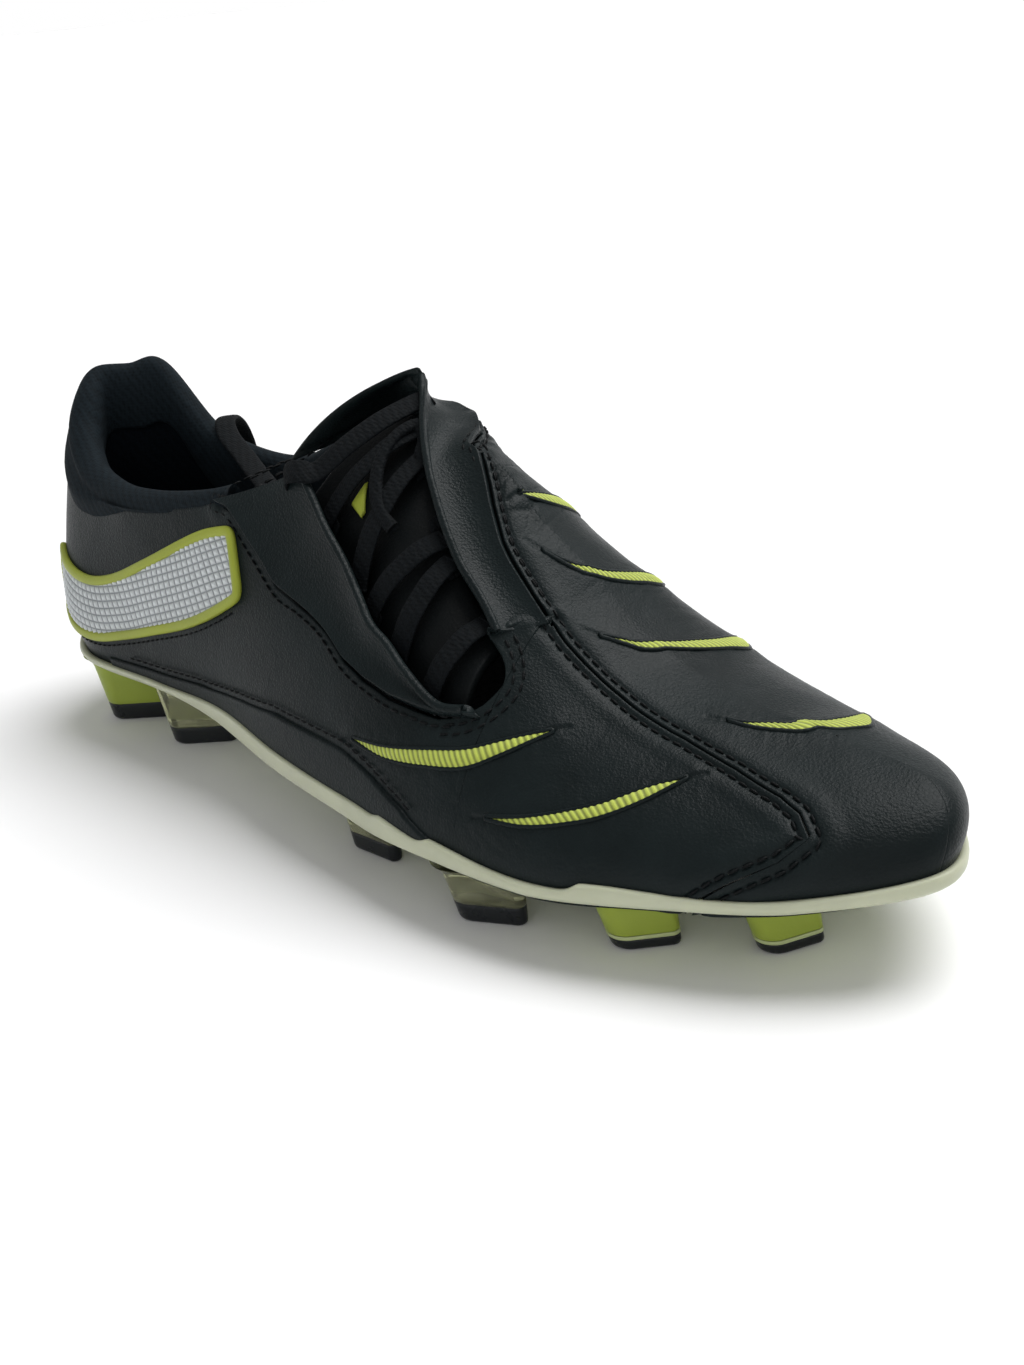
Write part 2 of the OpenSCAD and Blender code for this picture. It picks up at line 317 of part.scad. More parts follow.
// slashes: thin lens of ribbed textile, by tip, belly and end
module lens(U, L, side) panel([for (i = [0 : 16]) let (s = i / 16, a = along(U, s), b = along(L, s)) [for (j = [0 : 2]) mix(b, a, j / 2)]], slash_h + 0.45, 0.55);
module outer_slashes() color(lime) {
  lens([[7.1, 0.26], [7.5, 0.29], [7.95, 0.35], [8.29, 0.41], [8.54, 0.49], [8.8, 0.59]], [[7.11, 0.25], [7.52, 0.26], [7.97, 0.305], [8.32, 0.36], [8.56, 0.45], [8.81, 0.58]]);
  lens([[8.6, 0.265], [8.85, 0.31], [9.11, 0.37], [9.37, 0.44], [9.6, 0.53], [9.82, 0.61]], [[8.61, 0.255], [8.88, 0.28], [9.16, 0.33], [9.42, 0.39], [9.64, 0.48], [9.83, 0.6]]);
}
module inner_slashes() color(lime) {
  lens([[7.59, 0.99], [7.57, 1.07], [7.52, 1.14], [7.43, 1.21], [7.3, 1.3], [7.18, 1.38]], [[7.6, 0.99], [7.65, 1.07], [7.64, 1.14], [7.57, 1.21], [7.44, 1.3], [7.2, 1.39]]);
  lens([[8.03, 0.935], [8.18, 0.96], [8.28, 0.99], [8.34, 1.04], [8.34, 1.1], [8.3, 1.17], [8.2, 1.27], [8.05, 1.38]], [[8.04, 0.933], [8.22, 0.958], [8.34, 0.985], [8.41, 1.03], [8.43, 1.1], [8.4, 1.17], [8.3, 1.28], [8.07, 1.4]]);
  lens([[8.68, 0.885], [8.79, 0.92], [8.9, 0.955], [9, 1.02], [9.01, 1.11], [8.95, 1.22], [8.78, 1.36], [8.6, 1.47]], [[8.69, 0.882], [8.84, 0.918], [8.97, 0.95], [9.08, 1.01], [9.12, 1.11], [9.07, 1.22], [8.93, 1.36], [8.63, 1.49]]);
  lens([[9.84, 0.868], [10, 0.89], [10.2, 0.93], [10.4, 0.975], [10.48, 1.05], [10.4, 1.14], [10.25, 1.25], [10.05, 1.38]], [[9.86, 0.865], [10.05, 0.878], [10.28, 0.91], [10.52, 0.955], [10.7, 1.03], [10.62, 1.13], [10.45, 1.25], [10.08, 1.4]]);
}

// ---- closure ----
// throat surface: s from the base up, t from the outer edge (0) to the flap edge (1)
function throat(s, t, off) = let (a = along(LE, s), b = along(FE, s), d = along(FE, min(1, s + 0.03)) + along(LE, min(1, s + 0.03)) - along(FE, max(0, s - 0.03)) - along(LE, max(0, s - 0.03)), n = unit(cross(b - a, d)))
  mix(a, b, t) + n * (off + 3.5 * 4 * t * (1 - t));
function tongue_edge(s) = lookup(s, [[0, 0.93], [0.5, 0.97], [0.75, 0.93], [1, 0.82]]);
module tongue() color([0.17, 0.18, 0.19]) {
  slab([for (i = [0 : 24]) let (s = 0.05 + i * 0.93 / 24) [for (j = [0 : 10]) throat(s, mix(-0.25, tongue_edge(s), j / 10), -5.7)]],
       [for (i = [0 : 24]) let (s = 0.05 + i * 0.93 / 24) [for (j = [0 : 10]) throat(s, mix(-0.25, tongue_edge(s), j / 10), -5.7 - tongue_t)]]);
}
module tongue_mark() color(lime)
  slab([for (i = [0 : 6]) let (s = 0.72 + i * 0.1 / 6) [for (j = [0 : 3]) throat(s, mix(0.25, 0.25 + 0.25 * (0.3 + i / 9), j / 3), -4.9)]],
       [for (i = [0 : 6]) let (s = 0.72 + i * 0.1 / 6) [for (j = [0 : 3]) throat(s, mix(0.25, 0.25 + 0.25 * (0.3 + i / 9), j / 3), -5.48)]]);
// lace rungs from side to side, s at each side
RUNG = [[0.16, 0.16], [0.3, 0.38], [0.52, 0.46], [0.62, 0.7], [0.86, 0.8], [0.96, 0.9]];
module lace() color([0.06, 0.06, 0.07]) {
  for (i = [0 : len(RUNG) - 1]) {
    r = RUNG[i]; h = lace_w / 2 / 105; o = -2.9;
    slab([for (a = [0 : 8]) let (t = mix(-0.06, 0.92, a / 8), s = mix(r[0], r[1], a / 8)) [for (b = [-1 : 1]) throat(s + b * h, t, o)]],
         [for (a = [0 : 8]) let (t = mix(-0.06, 0.92, a / 8), s = mix(r[0], r[1], a / 8)) [for (b = [-1 : 1]) throat(s + b * h, t, o - lace_t)]]);
  }
}
// free tail of the lace: out of the top loop, across the mouth, over the inner collar and down the inner side
TAIL = [[-30, -17, 79], [-37, -15, 76], [-45, -12, 73], [-55, -7, 71], [-66, -1, 71.5], [-78, 4, 73], [-90, 9, 75], [-102, 13.5, 77.5], [-110, 18, 79.5], [-115, 23, 79.5], [-118, 27.5, 76], [-119, 30, 70.5], [-119, 31, 64], [-119, 32, 57], [-118.5, 33, 50]];
module flat_cord(s0, s1, n, w, t) tube([for (i = [0 : n]) let (s = mix(s0, s1, i / n), p = along(TAIL, s), d = unit(along(TAIL, min(1, s + 0.02)) - along(TAIL, max(0, s - 0.02))), x = unit(cross(d, cross([0.75, 0.65, 0.05], d))), y = cross(d, x))
  [for (a = [0 : 45 : 315]) p + x * (w / 2 * cos(a)) + y * (t / 2 * sin(a))]]);
module lace_tail() color([0.06, 0.06, 0.07]) flat_cord(0, 0.9, 28, lace_w * 0.92, lace_t + 0.3);
module lace_aglet() color(dark) flat_cord(0.9, 1, 4, 3.4, 2.4);
module loops(t0, t1, q) for (s = [0.16, 0.34, 0.5, 0.66, 0.83])
  slab([for (i = [0 : 3]) [for (b = [-1 : 1]) throat(s + b * 0.025 + q * 0.03, mix(t0, t1, i / 3), -4.4)]],
       [for (i = [0 : 3]) [for (b = [-1 : 1]) throat(s + b * 0.025 + q * 0.03, mix(t0, t1, i / 3), -5.1)]]);
module outer_lace_loops() color(dark) loops(-0.16, 0.04, 0);
module inner_lace_loops() color(dark) loops(0.84, 0.95, 1);

module sized() { scale(shoe_length / 300) children(); }
sized() outsole_plate();
sized() outsole_rim();
sized() stud_heel_outer_rear();
sized() tip_heel_outer_rear();
sized() stud_heel_outer_front();
sized() tip_heel_outer_front();
sized() stud_heel_inner_rear();
sized() tip_heel_inner_rear();
sized() stud_heel_inner_front();
sized() tip_heel_inner_front();
sized() stud_fore_outer_a();
sized() tip_fore_outer_a();
sized() stud_fore_outer_b();
sized() tip_fore_outer_b();
sized() stud_fore_outer_c();
sized() tip_fore_outer_c();
sized() stud_fore_outer_d();
sized() tip_fore_outer_d();
sized() stud_fore_inner_a();
sized() tip_fore_inner_a();
sized() stud_fore_inner_b();
sized() tip_fore_inner_b();
sized() stud_fore_inner_c();
sized() tip_fore_inner_c();
sized() insole_board();
sized() sockliner();
sized() heel_counter();
sized() toe_puff();
sized() heel_lining();
sized() outer_lining();
sized() toe_lining();
sized() inner_lining();
sized() collar_foam();
sized() collar_roll();
sized() vamp_and_inner_quarter();
sized() outer_quarter();
sized() heel_cap();
sized() heel_clip();
sized() outer_eyestay();
sized() inner_eyestay_flap();
sized() outer_foxing();
sized() inner_foxing();
sized() outer_crest();
sized() outer_crest_border();
sized() inner_crest();
sized() inner_crest_border();
sized() outer_slashes();
sized() inner_slashes();
sized() tongue();
sized() tongue_mark();
sized() lace();
sized() lace_tail();
sized() lace_aglet();
sized() outer_lace_loops();
sized() inner_lace_loops();
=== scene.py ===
# Looks of a right soccer cleat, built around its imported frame.
import bpy, math
import numpy as np
from mathutils import Matrix, Vector


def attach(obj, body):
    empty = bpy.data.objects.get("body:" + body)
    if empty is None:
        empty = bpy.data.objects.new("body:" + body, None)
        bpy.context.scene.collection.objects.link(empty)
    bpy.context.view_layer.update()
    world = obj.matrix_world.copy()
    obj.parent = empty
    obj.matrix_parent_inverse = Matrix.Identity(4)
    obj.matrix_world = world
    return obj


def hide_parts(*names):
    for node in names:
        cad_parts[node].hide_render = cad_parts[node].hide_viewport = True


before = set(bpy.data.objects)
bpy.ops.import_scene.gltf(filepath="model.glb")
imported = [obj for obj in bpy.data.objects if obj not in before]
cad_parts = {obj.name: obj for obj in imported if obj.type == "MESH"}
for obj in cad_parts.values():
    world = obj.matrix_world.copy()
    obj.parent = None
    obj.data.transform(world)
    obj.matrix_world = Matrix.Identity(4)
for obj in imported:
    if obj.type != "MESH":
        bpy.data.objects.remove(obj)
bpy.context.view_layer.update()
ORG = np.array([-3.0, -4.0, 0.0])      # plan shift between the working numbers below and the row frame, mm
MM = 0.001
scene = bpy.context.scene

# ------------------------------------------------------------------ camera
def make_camera():
    yaw, pitch, roll = 0.836672221, -0.379935910, -0.105538322
    C = np.array([315.570867, -265.725787, 192.151349]) - ORG
    f = np.array([-math.sin(yaw) * math.cos(pitch), math.cos(yaw) * math.cos(pitch), math.sin(pitch)])
    r = np.array([math.cos(yaw), math.sin(yaw), 0.0])
    u = np.cross(r, f)
    r2 = math.cos(roll) * r + math.sin(roll) * u
    u2 = -math.sin(roll) * r + math.cos(roll) * u
    cam = bpy.data.cameras.new("camera")
    ob = bpy.data.objects.new("camera", cam)
    scene.collection.objects.link(ob)
    m = Matrix.Identity(4)
    for i in range(3):
        m[i][0], m[i][1], m[i][2], m[i][3] = r2[i], u2[i], -f[i], C[i] * MM
    ob.matrix_world = m
    cam.sensor_width = 36.0
    cam.sensor_fit = "AUTO"
    cam.lens = 1774.06 * 36.0 / 1365.0
    cam.clip_start = 0.01
    cam.clip_end = 30
    scene.camera = ob
make_camera()
scene.view_settings.view_transform = "Standard"

# ------------------------------------------------------------------ form of the upper, mm
# foot line x y z, top line x y z, plan direction, lower pull out and up, upper pull out and down
ST = np.array([
 [-147, 1, 23, -150, 0, 93, 180, 7, 18, 3, 22], [-144, -12, 23, -146, -9, 88, 205, 7, 17, 3, 20],
 [-137, -23, 23, -138, -17, 79, 230, 7, 16, 4, 18], [-118, -33, 23, -122, -23, 71, 258, 5, 16, 4, 17],
 [-85, -34, 23, -95, -27, 69, 270, 2, 16, 4, 16], [-52, -36, 23, -60, -25, 74, 272, 2, 16, 5, 16],
 [-18, -43, 21, -27, -18, 84, 270, 2, 15, 9, 14], [13, -47, 19, 9, 4, 91, 268, 3, 13, 30, 10],
 [41, -50, 17, 36, 5, 72, 272, 3, 12, 32, 4], [73, -48, 16, 65, 5, 51, 282, 4, 12, 30, 3],
 [99, -39, 17.5, 92, 5, 43, 300, 4, 12, 26, 3], [124, -27, 19, 115, 5, 40, 325, 4, 10, 22, 2.5],
 [144, -6, 22, 128, 5, 38.5, 360, 3, 9, 15, 2], [134, 15, 20.5, 115, 5, 40, 400, 5, 10, 23, 3],
 [112, 31, 18, 92, 5, 43, 424, 4, 11, 26, 4], [83, 41, 17, 65, 5, 51, 442, 4, 11, 30, 5],
 [51, 42, 19, 36, 5, 72, 448, 2, 11, 28, 7], [20, 39, 22, 9, 4, 91, 451, 2, 14, 29, 9],
 [-14, 36, 25, -9, 13, 104, 453, 0, 18, 15, 18], [-52, 31, 25, -39, 18, 88, 453, 0, 18, 7, 19],
 [-85, 32, 23, -79, 26, 69, 452, 1, 17, 4, 16], [-118, 31, 23, -116, 24, 73, 462, 4, 16, 4, 17],
 [-137, 22, 23, -134, 18, 93, 490, 7, 16, 4, 22], [-144, 12, 23, -144, 10, 93, 515, 7, 17, 3, 22]], float)
CH = np.column_stack([ST[:, :6], np.cos(np.radians(ST[:, 6])), np.sin(np.radians(ST[:, 6])), ST[:, 7:]])
UX = [-160, -140, -85, -52, -18, 13, 41, 73, 99, 124, 150]
UZ = [19.8, 19.4, 19.4, 19, 17.2, 15.4, 13.4, 12.6, 14, 15.6, 18.6]
def under_z(x): return np.interp(x, UX, UZ)

def cr4(a, b, c, d, t):
    return b + (c - a) * (t / 2) + (2 * a - 5 * b + 4 * c - d) * (t * t / 2) + (3 * b - a - 3 * c + d) * (t ** 3 / 2)
def chan(u):
    i = np.floor(u).astype(int); t = (u - i)[..., None]
    return cr4(CH[(i - 1) % 24], CH[i % 24], CH[(i + 1) % 24], CH[(i + 2) % 24], t)
def unit(v): return v / np.maximum(np.linalg.norm(v, axis=-1, keepdims=True), 1e-12)
def plan_dir(c):
    n = np.zeros(c.shape[:-1] + (3,)); n[..., :2] = c[..., 6:8]
    return unit(n)
def surf(u, v):
    u, v = np.broadcast_arrays(np.asarray(u, float), np.asarray(v, float))
    c = chan(u); n = plan_dir(c); B = c[..., 0:3]; T = c[..., 3:6]
    z = np.zeros_like(n); z[..., 2] = 1
    P1 = B + n * c[..., 8:9] + z * c[..., 9:10]
    P2 = T + n * c[..., 10:11] - z * c[..., 11:12]
    w = np.maximum(v, 0)[..., None]; s = 1 - w
    P = B * s ** 3 + P1 * 3 * s * s * w + P2 * 3 * s * w * w + T * w ** 3
    low = (v < 0)[..., None]
    D = B.copy(); D[..., 2] += np.minimum(v, 0) * 30
    return np.where(low, D, P)
def nrm_raw(u, v):
    q = np.clip(v, 0.02, 0.98)
    du = surf(u + 0.02, q) - surf(u - 0.02, q); dv = surf(u, q + 0.01) - surf(u, q - 0.01)
    m = unit(np.cross(du, dv)); d = plan_dir(chan(u))
    m = np.where((m * d).sum(-1, keepdims=True) > 0, m, -m)
    return m
def nrm(u, v):
    u, v = np.broadcast_arrays(np.asarray(u, float), np.asarray(v, float))
    n = nrm_raw(u, v); uw = u % 24; k = np.minimum(uw, 24 - uw)
    q = 0.5 * np.clip((v - 0.9) / 0.1, 0, 1) * ((k >= 7) & (k <= 12)).astype(float)
    return unit(n * (1 - q[..., None]) + nrm_raw(24 - uw, v) * q[..., None])
def kw(K, W):
    K, W = np.broadcast_arrays(np.asarray(K, float), np.asarray(W, float))
    u = np.where(W <= 1, K, 24 - K); v = np.where(W <= 1, W, 2 - W)
    return surf(u, v), nrm(u, v)
def lean(K, W):
    s = np.where(W < 0.43, np.interp(W, [-0.1, 0, 0.15, 0.3, 0.43], [-0.62, -0.58, -0.36, -0.1, 0]), 0)
    b = np.where(K < 10.87, np.clip((K - 9.5) / 1.37, 0, 1), np.clip((12 - K) / 1.13, 0, 1))
    return K + s * b
def along(P, s):
    P = np.asarray(P, float); n = len(P) - 1; x = np.clip(s, 0, 1) * n
    i = np.minimum(n - 1, np.floor(x).astype(int)); t = (x - i)[..., None]
    return cr4(P[np.maximum(0, i - 1)], P[i], P[i + 1], P[np.minimum(n, i + 2)], t)
def resample(P, step):
    P = np.asarray(P, float); d = np.r_[0, np.cumsum(np.linalg.norm(np.diff(P, axis=0), axis=1))]
    n = max(2, int(round(d[-1] / step)) + 1); s = np.linspace(0, d[-1], n)
    return np.column_stack([np.interp(s, d, P[:, i]) for i in range(P.shape[1])])
def smooth(a, b, x):
    t = np.clip((x - a) / (b - a), 0, 1); return t * t * (3 - 2 * t)

# ------------------------------------------------------------------ noise without random state
def hash3(i, j, k):
    h = (i * 374761393 + j * 668265263 + k * 2147483647 // 7) & 0x7fffffff
    h = (h ^ (h >> 13)) * 1274126177 & 0x7fffffff
    return ((h ^ (h >> 16)) & 0xffff) / 65535.0
def noise3(P, scale, seed=0):
    Q = np.asarray(P) / scale + 17.3 * (seed + 1); I = np.floor(Q).astype(np.int64); F = Q - I; F = F * F * (3 - 2 * F)
    r = 0
    for a in (0, 1):
        for b in (0, 1):
            for c in (0, 1):
                w = (F[..., 0] if a else 1 - F[..., 0]) * (F[..., 1] if b else 1 - F[..., 1]) * (F[..., 2] if c else 1 - F[..., 2])
                r = r + w * hash3(I[..., 0] + a, I[..., 1] + b, I[..., 2] + c)
    return r * 2 - 1

# ------------------------------------------------------------------ meshes
def to_row(P): return (np.asarray(P, float) - ORG) * MM
def mesh_object(name, V, faces, uv=None, mat=None, body="shoe", slot=None, smooth_on=True):
    me = bpy.data.meshes.new(name)
    V = to_row(V).reshape(-1, 3)
    if isinstance(faces, np.ndarray):
        n = len(faces); k = faces.shape[1]
        me.vertices.add(len(V)); me.vertices.foreach_set("co", V.ravel())
        me.loops.add(n * k); me.loops.foreach_set("vertex_index", faces.astype(np.int32).ravel())
        me.polygons.add(n); me.polygons.foreach_set("loop_start", np.arange(0, n * k, k, dtype=np.int32))
        me.update(calc_edges=True)
    else:
        me.from_pydata([tuple(v) for v in V], [], faces)
    if uv is not None:
        lay = me.uv_layers.new(name="UVMap")
        idx = np.zeros(len(me.loops), np.int32); me.loops.foreach_get("vertex_index", idx)
        lay.data.foreach_set("uv", np.asarray(uv, float).reshape(-1, 2)[idx].ravel())
    me.polygons.foreach_set("use_smooth", np.full(len(me.polygons), smooth_on))
    me.validate(); me.update()
    ob = bpy.data.objects.new(name, me)
    scene.collection.objects.link(ob)
    if mat: me.materials.append(mat)
    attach(ob, body)
    return ob
def grid_faces(n, m, off=0, wrap_i=False, wrap_j=False, flip=False):
    i = np.arange(n if wrap_i else n - 1)[:, None]; j = np.arange(m if wrap_j else m - 1)[None, :]
    a = i * m + j; b = ((i + 1) % n) * m + j; c = ((i + 1) % n) * m + (j + 1) % m; d = i * m + (j + 1) % m
    F = np.stack([a, b, c, d], -1).reshape(-1, 4) + off
    return F[:, ::-1] if flip else F
def shell(name, top, bot, uv=None, wrap=False, **kwargs):
    """closed shell between two grids of points"""
    n, m = top.shape[:2]; N = n * m
    i0, j0 = n // 2, m // 2
    out = np.cross(top[i0, j0] - top[i0 - 1, j0], top[i0, j0] - top[i0, j0 - 1]) @ (top[i0, j0] - bot[i0, j0])
    flip = out < 0
    F = [grid_faces(n, m, 0, wrap, False, flip), grid_faces(n, m, N, wrap, False, not flip)]
    i = np.arange(n if wrap else n - 1); i1 = (i + 1) % n
    w0 = np.stack([i * m, N + i * m, N + i1 * m, i1 * m], 1)
    w1 = np.stack([i * m + m - 1, i1 * m + m - 1, N + i1 * m + m - 1, N + i * m + m - 1], 1)
    F += [w0[:, ::-1] if flip else w0, w1[:, ::-1] if flip else w1]
    if not wrap:
        j = np.arange(m - 1)
        e0 = np.stack([j, j + 1, N + j + 1, N + j], 1)
        e1 = np.stack([(n - 1) * m + j, N + (n - 1) * m + j, N + (n - 1) * m + j + 1, (n - 1) * m + j + 1], 1)
        F += [e0[:, ::-1] if flip else e0, e1[:, ::-1] if flip else e1]
    V = np.concatenate([top.reshape(-1, 3), bot.reshape(-1, 3)])
    if uv is not None: uv = np.concatenate([uv.reshape(-1, 2)] * 2)
    return mesh_object(name, V, np.concatenate(F), uv, **kwargs)
def tube(name, rings, uv=None, closed=False, **kwargs):
    """closed tube over rings (n, m, 3)"""
    n, m = rings.shape[:2]
    c = rings.mean(1)
    out = np.cross(rings[1, 0] - rings[0, 0], rings[0, 1] - rings[0, 0]) @ (rings[0, 0] - c[0])
    flip = out < 0
    F = list(map(tuple, grid_faces(n, m, 0, closed, True, flip)))
    if not closed:
        e0 = list(range(m)); e1 = [(n - 1) * m + j for j in range(m)]
        F += [tuple(e0[::-1] if not flip else e0), tuple(e1 if not flip else e1[::-1])]
        if out > 0: pass
    return mesh_object(name, rings.reshape(-1, 3), F, uv, **kwargs)

# ------------------------------------------------------------------ materials
def new_mat(name):
    m = bpy.data.materials.new(name); m.use_nodes = True
    nt = m.node_tree; b = nt.nodes["Principled BSDF"]
    return m, nt, b
def N(nt, kind, **kw_):
    n = nt.nodes.new(kind)
    for k, v in kw_.items():
        if k.startswith("i_"): n.inputs[k[2:].replace("_", " ")].default_value = v
        else: setattr(n, k, v)
    return n
def ramp(nt, fac, stops, interp="LINEAR"):
    r = nt.nodes.new("ShaderNodeValToRGB"); r.color_ramp.interpolation = interp
    e = r.color_ramp.elements
    while len(e) < len(stops): e.new(0.5)
    for el, (p, c) in zip(e, stops):
        el.position = p; el.color = c if len(c) == 4 else (*c, 1)
    nt.links.new(fac, r.inputs[0]); return r
def math_n(nt, op, a, b=None, clamp=False):
    n = nt.nodes.new("ShaderNodeMath"); n.operation = op; n.use_clamp = clamp
    for i, x in enumerate((a, b)):
        if x is None: continue
        if isinstance(x, (int, float)): n.inputs[i].default_value = x
        else: nt.links.new(x, n.inputs[i])
    return n.outputs[0]
def coords(nt, scale=(1, 1, 1), kind="Object", rot=(0, 0, 0)):
    t = nt.nodes.new("ShaderNodeTexCoord"); mp = nt.nodes.new("ShaderNodeMapping")
    mp.inputs["Scale"].default_value = scale; mp.inputs["Rotation"].default_value = rot
    nt.links.new(t.outputs[kind], mp.inputs["Vector"]); return mp.outputs["Vector"]
def bump(nt, height, dist, strength=1.0, normal=None):
    b = nt.nodes.new("ShaderNodeBump"); b.inputs["Strength"].default_value = strength; b.inputs["Distance"].default_value = dist
    nt.links.new(height, b.inputs["Height"])
    if normal is not None: nt.links.new(normal, b.inputs["Normal"])
    return b.outputs["Normal"]
def noise_n(nt, vec, scale, detail=3, rough=0.5, dist=0.0):
    n = nt.nodes.new("ShaderNodeTexNoise"); n.inputs["Scale"].default_value = scale; n.inputs["Detail"].default_value = detail
    n.inputs["Roughness"].default_value = rough; n.inputs["Distortion"].default_value = dist
    nt.links.new(vec, n.inputs["Vector"]); return n.outputs["Fac"]
def vor(nt, vec, scale, feature="F1", out="Distance", rnd=1.0):
    n = nt.nodes.new("ShaderNodeTexVoronoi"); n.feature = feature; n.inputs["Scale"].default_value = scale; n.inputs["Randomness"].default_value = rnd
    nt.links.new(vec, n.inputs["Vector"]); return n.outputs[out]

def leather(name, base=(0.0072, 0.0112, 0.0118), rough=0.38, grain=0.00015, pore=1 / 0.00065, wrinkle=0.00016, spec=0.10):
    m, nt, b = new_mat(name)
    v = coords(nt)
    g1 = vor(nt, v, pore); g2 = vor(nt, v, pore * 2.3)
    n1 = noise_n(nt, v, 900, 4, 0.6); n2 = noise_n(nt, v, 38, 3, 0.55); n3 = noise_n(nt, v, 180, 3, 0.6, 0.6)
    h = math_n(nt, "ADD", math_n(nt, "MULTIPLY", g1, 0.6), math_n(nt, "MULTIPLY", g2, 0.3))
    h = math_n(nt, "ADD", h, math_n(nt, "MULTIPLY", n1, 0.35))
    nb = bump(nt, h, grain, 0.75)
    nb = bump(nt, n3, wrinkle, 0.6, nb)
    nt.links.new(nb, b.inputs["Normal"])
    col = ramp(nt, n2, [(0.3, tuple(x * 0.8 for x in base)), (0.7, tuple(x * 1.25 for x in base))])
    nt.links.new(col.outputs[0], b.inputs["Base Color"])
    r = ramp(nt, math_n(nt, "ADD", math_n(nt, "MULTIPLY", n2, 0.6), math_n(nt, "MULTIPLY", g1, 0.4)), [(0.25, (rough - 0.06,) * 3), (0.75, (rough + 0.09,) * 3)])
    nt.links.new(r.outputs[0], b.inputs["Roughness"])
    b.inputs["Specular IOR Level"].default_value = spec
    return m
def textile(name, base=(0.012, 0.013, 0.014), pitch=0.0009, rough=0.8, sheen=0.35, uvw=False, depth=0.00025):
    m, nt, b = new_mat(name)
    v = coords(nt, kind="UV" if uvw else "Object")
    w = nt.nodes.new("ShaderNodeTexWave"); w.wave_type = "BANDS"; w.bands_direction = "DIAGONAL"
    w.inputs["Scale"].default_value = 0.16 / pitch; w.inputs["Distortion"].default_value = 1.2; w.inputs["Detail"].default_value = 2
    w.inputs["Detail Scale"].default_value = 3
    nt.links.new(v, w.inputs["Vector"])
    g = vor(nt, v, 1 / pitch, rnd=0.35)
    n = noise_n(nt, v, 700, 3)
    h = math_n(nt, "ADD", math_n(nt, "MULTIPLY", g, 0.8), math_n(nt, "ADD", math_n(nt, "MULTIPLY", w.outputs["Fac"], 0.3), math_n(nt, "MULTIPLY", n, 0.3)))
    nt.links.new(bump(nt, h, depth, 0.9), b.inputs["Normal"])
    # painted shade: the colour follows the weave's bump height h, darker in the hollows of the weave
    c = ramp(nt, h, [(0.2, tuple(x * 0.55 for x in base)), (0.9, tuple(x * 1.5 for x in base))])
    nt.links.new(c.outputs[0], b.inputs["Base Color"])
    b.inputs["Roughness"].default_value = rough
    b.inputs["Sheen Weight"].default_value = sheen; b.inputs["Sheen Roughness"].default_value = 0.45
    b.inputs["Specular IOR Level"].default_value = 0.12
    return m
def plastic(name, base, rough=0.3, trans=0.0, coat=0.0, ior=1.49, sss=0.0, mott=0.06, bumpd=0.00006, spec=0.5):
    m, nt, b = new_mat(name)
    v = coords(nt); n = noise_n(nt, v, 60, 4, 0.6); n2 = noise_n(nt, v, 1400, 2)
    c = ramp(nt, n, [(0.3, tuple(x * (1 - mott) for x in base)), (0.7, tuple(min(1, x * (1 + mott)) for x in base))])
    nt.links.new(c.outputs[0], b.inputs["Base Color"])
    r = ramp(nt, n, [(0.3, (rough * 0.85,) * 3), (0.7, (min(1, rough * 1.2),) * 3)])
    nt.links.new(r.outputs[0], b.inputs["Roughness"])
    nt.links.new(bump(nt, math_n(nt, "ADD", n2, n), bumpd, 0.5), b.inputs["Normal"])
    b.inputs["Transmission Weight"].default_value = trans; b.inputs["Coat Weight"].default_value = coat
    b.inputs["IOR"].default_value = ior; b.inputs["Specular IOR Level"].default_value = spec
    if sss:
        b.inputs["Subsurface Weight"].default_value = sss; b.inputs["Subsurface Radius"].default_value = (1, 1, 0.5)
        b.inputs["Subsurface Scale"].default_value = 0.004
    return m
def ribbed(name, base, pitch, depth=0.0003, axis="X", rough=0.75, sheen=0.3, fine=True):
    """ribs across U, in metres of UV; painted shade darkens the grooves between the ribs"""
    m, nt, b = new_mat(name)
    v = coords(nt, kind="UV")
    w = nt.nodes.new("ShaderNodeTexWave"); w.wave_type = "BANDS"; w.bands_direction = axis
    w.inputs["Scale"].default_value = 0.314159 / pitch; w.inputs["Distortion"].default_value = 0.25; w.inputs["Detail"].default_value = 1
    nt.links.new(v, w.inputs["Vector"])
    n = noise_n(nt, coords(nt), 1600, 3)
    h = math_n(nt, "ADD", w.outputs["Fac"], math_n(nt, "MULTIPLY", n, 0.35))
    nt.links.new(bump(nt, h, depth, 1.0), b.inputs["Normal"])
    # painted shade: the ramp darkens the rib grooves, where h is low, to 0.45 of the base colour
    c = ramp(nt, h, [(0.15, tuple(x * 0.45 for x in base)), (0.95, tuple(min(1, x * 1.15) for x in base))])
    nt.links.new(c.outputs[0], b.inputs["Base Color"])
    b.inputs["Roughness"].default_value = rough
    b.inputs["Sheen Weight"].default_value = sheen
    return m

M_leather = leather("black_leather")
M_flap = leather("flap_leather", rough=0.36, grain=0.0002)
